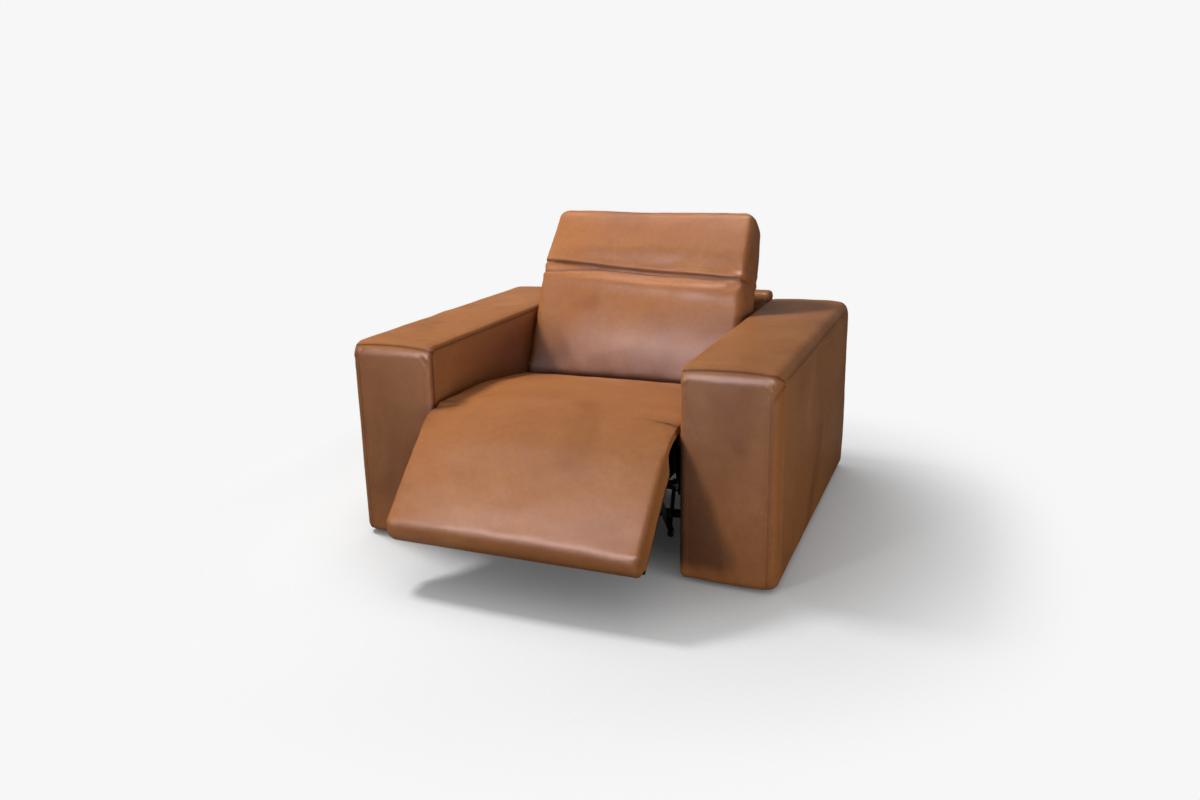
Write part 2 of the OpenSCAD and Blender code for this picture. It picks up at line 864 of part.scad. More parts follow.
// Ears on the back's upper rail with the pin that the headrest turns on
module headrest_yoke() {
    seat = stile_high + layer_gap;
    color("#1c1c1c") on_back() {
        both_sides() yz_plate(yoke_x, plate_t) union() {
            bar_shape([-14, seat + 9], head_hinge, 9);
            translate([-frame_half, seat]) square([14, 12]);
        }
        box_between([-yoke_x - plate_t, -frame_half, seat], [yoke_x + plate_t, -frame_half + 14, seat + yoke_foot]);
        x_round(-yoke_x - plate_t, 2 * (yoke_x + plate_t), head_hinge, pin_r);
    }
}

// Gearmotor and rail that tilt the headrest, inside the back's frame
module headrest_motor() {
    color("#1c1c1c") on_back() {
        box_between([-28, -18, stile_low + 40], [28, 18, stile_low + 105]);
        translate([28, 0, stile_low + 72]) rotate([0, 90, 0]) cylinder(h = 50, r = 17);
        box_between([-8, head_pin[0] - 8, stile_low + 105], [8, head_pin[0] + 8, stile_high - 40]);
    }
}

module headrest_carriage() {
    clear = 0.5;
    z = head_pin[1];
    color("ivory") on_back() difference() {
        union() {
            box_between([-16, head_pin[0] - 13, z - 130], [16, head_pin[0] + 9, z - 96]);
            box_between([-16, head_pin[0] - 13, z - 130], [-10, head_pin[0] + 9, z + 10]);
            box_between([10, head_pin[0] - 13, z - 130], [16, head_pin[0] + 9, z + 10]);
        }
        box_between([-8 - clear, head_pin[0] - 8 - clear, z - 140], [8 + clear, head_pin[0] + 8 + clear, z - 90]);
        box_between([-20, head_pin[0] - 9, z - 4.5], [20, head_pin[0] + 10, z + 4.5]);
    }
}

// ---- Headrest ----

// Side profile of the headrest in its own frame, from its hinge
module head_profile(inset) {
    i = inset;
    r = 40;
    y0 = back_front - head_hinge[0];
    y1 = back_rear - head_hinge[0];
    rise = -y0 * tan(head_chamfer);
    polygon([[y0 + i, head_gap + rise + i], [0, head_gap + i], [y1 - i, head_gap + i],
             [y1 - i, headrest_l - r], [y1 - r, headrest_l - i], [y0 + r, headrest_l - i], [y0 + i, headrest_l - r]]);
    for (y = [y0 + r, y1 - r]) translate([y, headrest_l - r]) circle(r - i);
}

module head_block(inset) {
    on_headrest() yz_plate(-back_half + inset, 2 * (back_half - inset)) head_profile(inset);
}

// Room in the headrest for the yoke's ears and the hinge bracket
module yoke_slot(y0, y1, top) {
    half = yoke_x + plate_t + layer_gap;
    box_between([-half, y0, 0], [half, y1, top]);
}

module headrest_cover() {
    color("peru") difference() {
        head_block(0);
        head_block(leather_t);
        // slot for the hinge bracket
        on_headrest() yoke_slot(-30, 70, 20);
    }
}

board_y = 24;

module headrest_foam() {
    color("lightyellow") difference() {
        head_block(skin);
        on_headrest() box_between([-back_half, board_y - layer_gap, 0], [back_half, 100, headrest_l]);
        on_headrest() yoke_slot(-30, board_y, 135);
    }
}

module headrest_board() {
    color("burlywood") on_headrest()
        box_between([-back_half + 30, board_y, head_gap + 20], [back_half - 30, board_y + 12, headrest_l - 50]);
}

module headrest_bracket() {
    lever = turned([head_lever_r, 0], -head_tilt / 2 + headrest_set);
    color("#1c1c1c") {
        on_headrest() {
            for (x = [-26, 22]) yz_plate(x, plate_t) difference() {
                union() {
                    circle(12);
                    bar_shape([0, 0], lever, 9);
                    polygon([[-9, -3], [9, -3], [board_y - 1, 60], [board_y - 1, 120], [12, 120]]);
                }
                circle(pin_r + pin_gap);
            }
            box_between([-26, board_y - 4, 60], [26, board_y - layer_gap, 120]);
            x_round(-26, 52, lever, 4);
        }
    }
}

arm_cover_left();
arm_cover_right();
arm_foam_left();
arm_foam_right();
arm_frame_left();
arm_frame_right();
outside_back_cover();
outside_back_frame();
base_channel_left();
base_channel_right();
recline_track_left();
recline_track_right();
front_cross_tube();
rear_cross_tube();
frame_bolts();
glide_feet();
recline_motor();
recline_rail();
power_supply();
power_inlet();
control_panel();
button_recline();
button_return();
button_head_up();
button_head_down();
seat_cover();
seat_foam();
seat_plate_left();
seat_plate_right();
seat_rails();
seat_springs();
seat_rear_tube();
slide_blocks();
recline_nut();
footrest_motor();
footrest_rail();
seat_pins();
footrest_cover();
footrest_foam();
footrest_board();
footrest_bracket_left();
footrest_bracket_right();
footrest_pins();
torque_tube();
drive_lever();
crank_pins();
footrest_links();
footrest_carriage();
back_cover();
back_foam();
back_frame();
back_brackets();
headrest_yoke();
headrest_motor();
headrest_cover();
headrest_foam();
headrest_board();
headrest_bracket();
headrest_carriage();
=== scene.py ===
import json
import math

import bpy
import numpy as np
from bpy.props import FloatProperty, FloatVectorProperty, PointerProperty
from mathutils import Matrix, Vector


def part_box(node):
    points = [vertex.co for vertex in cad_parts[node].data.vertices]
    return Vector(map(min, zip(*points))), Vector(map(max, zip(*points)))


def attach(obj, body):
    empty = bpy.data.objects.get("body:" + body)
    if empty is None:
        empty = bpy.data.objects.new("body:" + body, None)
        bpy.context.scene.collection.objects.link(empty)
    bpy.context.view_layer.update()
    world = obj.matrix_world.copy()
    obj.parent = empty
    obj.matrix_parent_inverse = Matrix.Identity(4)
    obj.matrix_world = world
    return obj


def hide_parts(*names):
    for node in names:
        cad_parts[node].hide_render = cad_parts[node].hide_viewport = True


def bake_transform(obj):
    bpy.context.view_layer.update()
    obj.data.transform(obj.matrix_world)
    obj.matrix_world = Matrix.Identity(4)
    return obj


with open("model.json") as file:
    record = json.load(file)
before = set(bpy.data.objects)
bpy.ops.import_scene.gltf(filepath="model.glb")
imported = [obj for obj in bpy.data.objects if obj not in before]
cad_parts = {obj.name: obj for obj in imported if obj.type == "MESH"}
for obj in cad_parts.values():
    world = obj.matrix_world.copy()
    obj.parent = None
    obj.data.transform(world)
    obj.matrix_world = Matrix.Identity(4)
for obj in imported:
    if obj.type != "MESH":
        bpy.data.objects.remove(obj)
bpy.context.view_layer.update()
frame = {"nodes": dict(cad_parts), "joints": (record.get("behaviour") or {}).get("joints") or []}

bl_info = {
    "name": "Power recliner upholstery",
    "version": (1, 0, 0),
    "blender": (4, 5, 0),
    "location": "3D View > Sidebar > Recliner",
    "description": "Leather, stitching and finishes around a packed recliner frame",
    "category": "Object",
}

JOINTS = {j["name"]: j for j in frame["joints"]}
FOOT_HINGE = Vector(JOINTS["footrest_lift"]["pos_m"])
FOOT_SLOPE = math.radians(JOINTS["footrest_lift"]["range_deg"][1])
BACK_HINGE = Vector(JOINTS["back_recline"]["pos_m"])
HEAD_HINGE = Vector(JOINTS["headrest_tilt"]["pos_m"])
BACK_LEAN = math.atan2(*JOINTS["headrest_nut_run"]["axis"][1:])
ARM_LOW, ARM_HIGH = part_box("arm_cover_left")
SEAT_LOW, SEAT_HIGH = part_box("seat_cover")
BACK_LOW, BACK_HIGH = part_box("back_cover")
HEAD_LOW, HEAD_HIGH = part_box("headrest_cover")
OUTER_LOW, OUTER_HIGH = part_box("outside_back_cover")
QUARTER = math.pi / 2


# ---- Numbers and curves ----

def ramp(x, a, b):
    """0 before a, 1 after b, smooth between."""
    t = np.clip((np.asarray(x, float) - a) / (b - a), 0.0, 1.0)
    return t * t * (3 - 2 * t)


def ridge(d, width):
    """1 on a line, falling to 0 at about twice width from it."""
    return np.exp(-(np.asarray(d, float) / width) ** 2)


def crown(u, power=2.4):
    """1 in the middle of -1 to 1 and 0 at the ends."""
    return np.clip(1 - np.abs(u) ** power, 0, 1)


def ripple(p, scale, seed):
    """Smooth noise from -1 to 1 made of a few fixed waves."""
    rng = np.random.default_rng(seed)
    out = np.zeros(len(p))
    for _ in range(7):
        way = rng.normal(size=p.shape[1])
        way /= np.linalg.norm(way)
        size = scale * rng.uniform(0.6, 1.7)
        out += np.sin(p @ way / size * 2 * math.pi + rng.uniform(0, 2 * math.pi))
    return out / 4.2


def lines(a, b, step, near=(), reach=0.014, fine=0.0022):
    """Lattice lines from a to b, closer together near the given places."""
    marks = [a, b] + [n for n in near if a < n < b]
    out = set(np.round(np.linspace(a, b, max(2, int(math.ceil((b - a) / step)) + 1)), 6))
    for n in marks[2:]:
        for i in range(-int(reach / fine), int(reach / fine) + 1):
            q = n + i * fine * (1 + abs(i) * 0.12)
            if a < q < b:
                out.add(round(q, 6))
    kept = []
    for q in sorted(out):
        solid = any(abs(q - m) < 1e-6 for m in marks)
        if kept and q - kept[-1] < fine * 0.6:
            if solid and kept[-1] not in marks:
                kept[-1] = q
            continue
        kept.append(q)
    kept[0], kept[-1] = a, b
    return np.array(kept)


def nearest(values, v):
    """The index of the value closest to v."""
    return int(np.argmin(np.abs(values - v)))


def box_surface(xs, ys, zs):
    """Points, quads and the index grid of a box's surface cut by lattice lines."""
    n = (len(xs), len(ys), len(zs))
    i, j, k = np.meshgrid(*[np.arange(c) for c in n], indexing="ij")
    on = (i == 0) | (i == n[0] - 1) | (j == 0) | (j == n[1] - 1) | (k == 0) | (k == n[2] - 1)
    index = -np.ones(n, int)
    index[on] = np.arange(on.sum())
    points = np.stack([xs[i[on]], ys[j[on]], zs[k[on]]], 1)
    quads = []
    for sheet, turned in ((index[0], True), (index[-1], False), (index[:, 0], False),
                          (index[:, -1], True), (index[:, :, 0], True), (index[:, :, -1], False)):
        q = np.stack([sheet[:-1, :-1], sheet[1:, :-1], sheet[1:, 1:], sheet[:-1, 1:]], -1).reshape(-1, 4)
        quads.append(q[:, ::-1] if turned else q)
    return points, np.vstack(quads), index


def round_block(p, low, high, corner, edge):
    """Rounds a box's surface: corner is the radius seen from the side, edge the radius across.

    corner is a function of (is_front, height from -1 to 1) arrays, edge a pair for -X and +X. A corner's
    radius is never less than the edge's.
    Returns the places and how far round the edge each point is, from 0 to 1.
    """
    mid = (low + high) / 2
    half = (high - low) / 2
    d = p - mid
    size = np.abs(d)
    sign = np.where(d < 0, -1.0, 1.0)
    e = np.where(d[:, 0] > 0, edge[1], edge[0])
    w = np.clip((size[:, 0] - (half[0] - e)) / e, 0, 1)
    inset = e * (1 - np.cos(w * QUARTER))
    x = np.where(w > 0, half[0] - e + e * np.sin(w * QUARTER), size[:, 0])
    r = corner(d[:, 1] < 0, d[:, 2] / half[2])
    u = (size[:, 1] - (half[1] - r)) / r
    v = (size[:, 2] - (half[2] - r)) / r
    m = np.maximum(u, v)
    small = np.minimum(u, v)
    both = small > 0
    safe = np.where(m > 0, m, 1)
    turn = np.where(u >= v, v / safe, 2 - u / safe) * QUARTER / 2
    y = np.where(both, half[1] - r + m * (r - inset) * np.cos(turn),
                 np.where(u > 0, half[1] - r + u * (r - inset), size[:, 1]))
    z = np.where(both, half[2] - r + m * (r - inset) * np.sin(turn),
                 np.where(v > 0, half[2] - r + v * (r - inset), size[:, 2]))
    return mid + sign * np.stack([x, y, z], 1), w


def surface_normals(points, quads):
    """The outward way at each point, averaged over the quads round it."""
    a, b, c, d = (points[quads[:, i]] for i in range(4))
    n = np.cross(c - a, d - b)
    out = np.zeros_like(points)
    for i in range(4):
        np.add.at(out, quads[:, i], n)
    return out / np.maximum(np.linalg.norm(out, axis=1, keepdims=True), 1e-12)


def mesh_piece(name, points, quads, material, seam=None, fold=None):
    """A mesh object with its rest places kept as an attribute, so its finish stays put when it bends.

    seam is 1 along sewn lines and creases, where a dark line is painted that is partly painted shade; fold is
    1 where the leather is painted darker, mostly painted shade in creases, turns and joins.
    """
    mesh = bpy.data.meshes.new(name)
    mesh.from_pydata([tuple(p) for p in points], [], [tuple(int(v) for v in q) for q in quads])
    mesh.update()
    mesh.polygons.foreach_set("use_smooth", [True] * len(mesh.polygons))
    rest = mesh.attributes.new("rest", "FLOAT_VECTOR", "POINT")
    rest.data.foreach_set("vector", np.asarray(points, np.float32).ravel())
    for label, values in (("seam", seam), ("fold", fold)):
        mask = mesh.attributes.new(label, "FLOAT", "POINT")
        if values is None:
            values = np.zeros(len(points))
        mask.data.foreach_set("value", np.asarray(values, np.float32))
    piece = bpy.data.objects.new(name, mesh)
    bpy.context.scene.collection.objects.link(piece)
    mesh.materials.append(material)
    return piece


def thread(path, normals, stitch, gap, radius, lift):
    """Points and quads of a row of stitches along a line of surface points."""
    step = np.linalg.norm(np.diff(path, axis=0), axis=1)
    along = np.concatenate([[0], np.cumsum(step)])
    total = along[-1]
    if total < stitch * 2:
        return np.zeros((0, 3)), np.zeros((0, 4), int)
    starts = np.arange(gap, total - stitch, stitch + gap)
    at = lambda s: np.stack([np.interp(s, along, path[:, i]) for i in range(3)], -1)
    up = lambda s: np.stack([np.interp(s, along, normals[:, i]) for i in range(3)], -1)
    stations = ((0.0, 0.35, -0.3), (0.18, 0.85, 0.7), (0.5, 1.0, 1.0), (0.82, 0.85, 0.7), (1.0, 0.35, -0.3))
    ring = 5
    points, quads = [], []
    for n, s0 in enumerate(starts):
        middle = at(s0 + stitch / 2)
        way = at(s0 + stitch) - at(s0)
        way /= max(np.linalg.norm(way), 1e-9)
        nrm = up(s0 + stitch / 2)
        nrm = nrm - way * (nrm @ way)
        nrm /= max(np.linalg.norm(nrm), 1e-9)
        side = np.cross(way, nrm)
        base = len(stations) * ring * n
        for f, size, high in stations:
            centre = middle + way * (f - 0.5) * stitch + nrm * lift * high
            for k in range(ring):
                a = 2 * math.pi * k / ring
                points.append(centre + radius * size * (math.cos(a) * side * 1.15 + math.sin(a) * nrm))
        for row in range(len(stations) - 1):
            for k in range(ring):
                a, b = base + row * ring + k, base + row * ring + (k + 1) % ring
                quads.append((a, b, b + ring, a + ring))
    return np.array(points).reshape(-1, 3), np.array(quads, int).reshape(-1, 4)


def stitch_piece(name, rows, material, radius=0.00062, stitch=0.0058, gap=0.0024, lift=0.0006):
    """One object that holds several rows of stitches; each row is (points, normals)."""
    all_points, all_quads, n = [], [], 0
    for path, normals in rows:
        p, q = thread(path, normals, stitch, gap, radius, lift)
        all_points.append(p)
        all_quads.append(q + n)
        n += len(p)
    return mesh_piece(name, np.vstack(all_points), np.vstack(all_quads), material)


# ---- Shader groups and materials ----

def new_group(name, inputs, outputs):
    """A shader node group with named sockets, and its two end nodes."""
    group = bpy.data.node_groups.new(name, "ShaderNodeTree")
    for label, kind, value in inputs:
        socket = group.interface.new_socket(label, in_out="INPUT", socket_type=kind)
        if value is not None:
            socket.default_value = value
    for label, kind in outputs:
        group.interface.new_socket(label, in_out="OUTPUT", socket_type=kind)
    return group, group.nodes.new("NodeGroupInput"), group.nodes.new("NodeGroupOutput")


def math_node(tree, operation, a, b):
    """The result of a Math node whose two inputs are sockets or numbers."""
    made = tree.nodes.new("ShaderNodeMath")
    made.operation = operation
    for i, value in enumerate((a, b)):
        if hasattr(value, "is_output"):
            tree.links.new(value, made.inputs[i])
        else:
            made.inputs[i].default_value = value
    return made.outputs[0]


def remap(tree, value, a, b, c, d):
    """Takes a to b smoothly to c to d."""
    made = tree.nodes.new("ShaderNodeMapRange")
    made.interpolation_type = "SMOOTHSTEP"
    tree.links.new(value, made.inputs[0])
    for i, v in enumerate((a, b, c, d)):
        made.inputs[i + 1].default_value = v
    return made.outputs[0]


def noise(tree, vector, scale, detail=4.0, rough=0.55, distortion=0.0):
    """The value of a noise texture."""
    made = tree.nodes.new("ShaderNodeTexNoise")
    made.inputs["Scale"].default_value = scale
    made.inputs["Detail"].default_value = detail
    made.inputs["Roughness"].default_value = rough
    made.inputs["Distortion"].default_value = distortion
    tree.links.new(vector, made.inputs["Vector"])
    return made.outputs["Fac"]


def mix_colour(tree, factor, a, b):
    """A colour between a and b, each a socket or a plain colour."""
    made = tree.nodes.new("ShaderNodeMix")
    made.data_type = "RGBA"
    for slot, value in ((0, factor), (6, a), (7, b)):
        socket = made.inputs[slot]
        if hasattr(value, "is_output"):
            tree.links.new(value, socket)
        else:
            socket.default_value = value
    return made.outputs[2]


def leather_group():
    """Pull-up leather: mottling, darker pulled patches, grain height and wax sheen, with painted shade from
    the Seam and Fold masks.
    """
    group, inp, out = new_group(
        "pull_up_leather",
        [("Rest", "NodeSocketVector", None), ("Colour", "NodeSocketColor", (0.4, 0.18, 0.08, 1)),
         ("Dark", "NodeSocketColor", (0.2, 0.07, 0.03, 1)),
         ("Light", "NodeSocketColor", (0.6, 0.33, 0.17, 1)),
         ("Patches", "NodeSocketFloat", 0.5), ("Roughness", "NodeSocketFloat", 0.42),
         ("Seam", "NodeSocketFloat", 0.0), ("Fold", "NodeSocketFloat", 0.0)],
        [("Colour", "NodeSocketColor"), ("Roughness", "NodeSocketFloat"), ("Height", "NodeSocketFloat")])
    t = group
    p = inp.outputs["Rest"]
    cloud = noise(t, p, 3.4, 3.0, 0.55, 0.6)
    blot = noise(t, p, 9.0, 5.0, 0.62, 0.8)
    fine = noise(t, p, 70.0, 4.0, 0.6)
    dark = remap(t, cloud, 0.50, 0.74, 0.0, 1.0)
    dark2 = remap(t, blot, 0.56, 0.80, 0.0, 0.55)
    patch = math_node(t, "MULTIPLY", math_node(t, "MAXIMUM", dark, dark2), inp.outputs["Patches"])
    light = remap(t, cloud, 0.47, 0.28, 0.0, 0.55)
    c = mix_colour(t, patch, inp.outputs["Colour"], inp.outputs["Dark"])
    c = mix_colour(t, light, c, inp.outputs["Light"])
    speck = remap(t, fine, 0.38, 0.66, 0.0, 0.16)
    c = mix_colour(t, speck, c, inp.outputs["Dark"])
    # the Fold mask darkens the leather: painted shade in creases, wrinkles, turned edges and where cushions
    # meet, and darker beside seams and on rounded edges
    worn = math_node(t, "MULTIPLY", inp.outputs["Fold"], remap(t, blot, 0.30, 0.60, 0.25, 0.75))
    c = mix_colour(t, worn, c, inp.outputs["Dark"])
    # the Seam mask paints a near-black line: the seams' dark joints with painted shade of their grooves, and
    # painted shade along creases
    line = math_node(t, "MULTIPLY", inp.outputs["Seam"], 0.86)
    c = mix_colour(t, line, c, (0.030, 0.011, 0.006, 1))
    t.links.new(c, out.inputs["Colour"])
    cells = t.nodes.new("ShaderNodeTexVoronoi")
    cells.feature = "DISTANCE_TO_EDGE"
    cells.inputs["Scale"].default_value = 620.0
    cells.inputs["Randomness"].default_value = 1.0
    warp = t.nodes.new("ShaderNodeVectorMath")
    warp.operation = "ADD"
    wob = t.nodes.new("ShaderNodeTexNoise")
    wob.inputs["Scale"].default_value = 260.0
    t.links.new(p, wob.inputs["Vector"])
    small = t.nodes.new("ShaderNodeVectorMath")
    small.operation = "SCALE"
    small.inputs["Scale"].default_value = 0.0016
    t.links.new(wob.outputs["Color"], small.inputs[0])
    t.links.new(p, warp.inputs[0])
    t.links.new(small.outputs[0], warp.inputs[1])
    t.links.new(warp.outputs[0], cells.inputs["Vector"])
    pebbles = remap(t, cells.outputs["Distance"], 0.0, 0.22, 0.0, 1.0)
    creases = noise(t, p, 46.0, 6.0, 0.7, 1.4)
    soft = noise(t, p, 14.0, 3.0, 0.5, 0.4)
    grain = math_node(t, "MULTIPLY", pebbles, 0.35)
    rolls = math_node(t, "ADD", math_node(t, "MULTIPLY", creases, 0.8), math_node(t, "MULTIPLY", soft, 2.2))
    t.links.new(math_node(t, "ADD", grain, rolls), out.inputs["Height"])
    uneven = math_node(t, "MULTIPLY", math_node(t, "SUBTRACT", blot, 0.5), 0.22)
    r = math_node(t, "ADD", inp.outputs["Roughness"], uneven)
    r = math_node(t, "ADD", r, math_node(t, "MULTIPLY", patch, -0.05))
    t.links.new(r, out.inputs["Roughness"])
    return group


def wear_group():
    """Fine marks on hard parts: a height, a roughness and a tint mask."""
    group, inp, out = new_group(
        "hard_surface", [("Rest", "NodeSocketVector", None), ("Scale", "NodeSocketFloat", 400.0)],
        [("Mask", "NodeSocketFloat"), ("Height", "NodeSocketFloat"), ("Roughness", "NodeSocketFloat")])
    p = inp.outputs["Rest"]
    speck = group.nodes.new("ShaderNodeTexNoise")
    speck.inputs["Detail"].default_value = 3.0
    group.links.new(p, speck.inputs["Vector"])
    group.links.new(inp.outputs["Scale"], speck.inputs["Scale"])
    big = noise(group, p, 22.0, 4.0, 0.6)
    group.links.new(remap(group, big, 0.45, 0.75, 0.0, 1.0), out.inputs["Mask"])
    group.links.new(speck.outputs["Fac"], out.inputs["Height"])
    group.links.new(remap(group, big, 0.2, 0.8, -0.08, 0.1), out.inputs["Roughness"])
    return group


def wood_group():
    """Plywood: growth bands and fibres along Y."""
    group, inp, out = new_group("plywood_grain", [("Rest", "NodeSocketVector", None)],
                                [("Mask", "NodeSocketFloat"), ("Height", "NodeSocketFloat")])
    stretch = group.nodes.new("ShaderNodeMapping")
    stretch.inputs["Scale"].default_value = (60.0, 6.0, 60.0)
    group.links.new(inp.outputs["Rest"], stretch.inputs["Vector"])
    bands = noise(group, stretch.outputs[0], 1.0, 6.0, 0.65, 1.5)
    group.links.new(remap(group, bands, 0.35, 0.7, 0.0, 1.0), out.inputs["Mask"])
    group.links.new(bands, out.inputs["Height"])
    return group


GROUPS = {}


def group_named(name):
    """A shared shader group, built when first asked for."""
    if name not in GROUPS:
        GROUPS[name] = {"leather": leather_group, "hard": wear_group, "wood": wood_group}[name]()
    return GROUPS[name]


def start_material(name):
    """A new material that holds one Principled shader."""
    material = bpy.data.materials.new(name)
    material.use_nodes = True
    tree = material.node_tree
    tree.nodes.clear()
    shader = tree.nodes.new("ShaderNodeBsdfPrincipled")
    out = tree.nodes.new("ShaderNodeOutputMaterial")
    tree.links.new(shader.outputs[0], out.inputs["Surface"])
    return material, tree, shader


def rest_vector(tree, attribute):
    """Where a point is: from the rest attribute on soft pieces, else from the object."""
    if attribute:
        made = tree.nodes.new("ShaderNodeAttribute")
        made.attribute_name = "rest"
        return made.outputs["Vector"]
    return tree.nodes.new("ShaderNodeTexCoord").outputs["Object"]


def bump_from(tree, shader, height, strength, distance):
    """Lets a height value shape a shader's normal."""
    bump = tree.nodes.new("ShaderNodeBump")
    bump.inputs["Strength"].default_value = strength
    bump.inputs["Distance"].default_value = distance
    tree.links.new(height, bump.inputs["Height"])
    tree.links.new(bump.outputs[0], shader.inputs["Normal"])


def leather_material(name, colour, dark, light, patches=0.5):
    """Leather in the given colours; patches is how strong the darker areas are."""
    material, tree, shader = start_material(name)
    g = tree.nodes.new("ShaderNodeGroup")
    g.node_tree = group_named("leather")
    tree.links.new(rest_vector(tree, True), g.inputs["Rest"])
    for key, value in (("Colour", colour), ("Dark", dark), ("Light", light)):
        g.inputs[key].default_value = (*value, 1)
    g.inputs["Patches"].default_value = patches
    for label in ("Seam", "Fold"):
        mask = tree.nodes.new("ShaderNodeAttribute")
        mask.attribute_name = label.lower()
        tree.links.new(mask.outputs["Fac"], g.inputs[label])
    g.inputs["Roughness"].default_value = 0.43
    tree.links.new(g.outputs["Colour"], shader.inputs["Base Color"])
    tree.links.new(g.outputs["Roughness"], shader.inputs["Roughness"])
    bump_from(tree, shader, g.outputs["Height"], 0.35, 0.0011)
    shader.inputs["IOR"].default_value = 1.48
    shader.inputs["Coat Weight"].default_value = 0.25
    shader.inputs["Coat Roughness"].default_value = 0.33
    return material


def hard_material(name, colour, roughness, metallic, scale, bump):
    """Metal, plastic or cloth with fine marks; scale is how fine they are and bump how deep."""
    material, tree, shader = start_material(name)
    g = tree.nodes.new("ShaderNodeGroup")
    g.node_tree = group_named("hard")
    g.inputs["Scale"].default_value = scale
    tree.links.new(rest_vector(tree, False), g.inputs["Rest"])
    worn = tuple(min(1.0, c * 1.35 + 0.01) for c in colour)
    c = mix_colour(tree, g.outputs["Mask"], (*colour, 1), (*worn, 1))
    tree.links.new(c, shader.inputs["Base Color"])
    r = math_node(tree, "ADD", g.outputs["Roughness"], roughness)
    tree.links.new(r, shader.inputs["Roughness"])
    shader.inputs["Metallic"].default_value = metallic
    bump_from(tree, shader, g.outputs["Height"], bump, 0.0003)
    return material


def wood_material(name, pale, dark):
    """Plywood in two tones."""
    material, tree, shader = start_material(name)
    g = tree.nodes.new("ShaderNodeGroup")
    g.node_tree = group_named("wood")
    tree.links.new(rest_vector(tree, False), g.inputs["Rest"])
    tree.links.new(mix_colour(tree, g.outputs["Mask"], (*pale, 1), (*dark, 1)), shader.inputs["Base Color"])
    shader.inputs["Roughness"].default_value = 0.62
    bump_from(tree, shader, g.outputs["Height"], 0.2, 0.0006)
    return material


def thread_material(name, colour):
    """Twisted sewing thread."""
    material, tree, shader = start_material(name)
    p = rest_vector(tree, True)
    twist = noise(tree, p, 900.0, 2.0)
    shaded = (*(v * 0.6 for v in colour), 1)
    c = mix_colour(tree, remap(tree, twist, 0.35, 0.65, 0.0, 1.0), (*colour, 1), shaded)
    tree.links.new(c, shader.inputs["Base Color"])
    shader.inputs["Roughness"].default_value = 0.55
    bump_from(tree, shader, twist, 0.3, 0.0003)
    return material


# Name, colour, roughness, metallic, fineness of the marks and depth of the marks
HARD_FINISHES = {
    "black_steel": ("powder_coated_steel", (0.012, 0.012, 0.013), 0.42, 0.0, 1500.0, 0.35),
    "zinc": ("zinc_plate", (0.56, 0.56, 0.54), 0.34, 1.0, 900.0, 0.1),
    "plastic": ("moulded_black", (0.016, 0.016, 0.017), 0.48, 0.0, 2200.0, 0.25),
    "nylon": ("black_nylon", (0.022, 0.022, 0.023), 0.40, 0.0, 800.0, 0.1),
    "button": ("satin_button", (0.36, 0.36, 0.37), 0.28, 1.0, 1800.0, 0.1),
    "dust_cloth": ("black_dust_cloth", (0.014, 0.014, 0.015), 0.85, 0.0, 1400.0, 0.6),
}
MATERIALS = {}


def make_material(key):
    """Makes one finish from the panel's colours or the table above."""
    if key in HARD_FINISHES:
        return hard_material(*HARD_FINISHES[key])
    if key == "plywood":
        return wood_material("plywood", (0.62, 0.45, 0.27), (0.42, 0.27, 0.14))
    looks = bpy.context.scene.recliner_looks
    tan, burnt, pale = tuple(looks.leather), tuple(looks.burnish), tuple(looks.worn)
    if key == "thread":
        return thread_material("topstitch_thread", tuple(min(1.0, c * 1.5 + 0.02) for c in tan))
    if key == "leather":
        return leather_material("cognac_leather", tan, burnt, pale)
    # the arms and outside back use a copy of the leather a little darker, with stronger darker patches
    arm_tan = tuple(c * 0.94 for c in tan)
    arm_pale = tuple(c * 0.95 for c in pale)
    return leather_material("cognac_leather_arm", arm_tan, burnt, arm_pale, 0.55)


def material(key):
    """Finishes by name, made when first asked for."""
    if key not in MATERIALS:
        MATERIALS[key] = make_material(key)
    return MATERIALS[key]


# ---- Arms ----

ARM_CORNER = 0.036
ARM_FOOT = 0.030
ARM_REAR = 0.060
OUTER_EDGE = 0.028
INNER_EDGE = 0.014
FRONT_SEAM_AT = math.radians(41)
ARM_HEM = 0.008
PANEL_REAR = 0.058
DART = 0.52
SEAM_WIDTH = 0.0024
ARM_TOP_SWELL = 0.003
ARM_SIDE_SWELL = 0.005


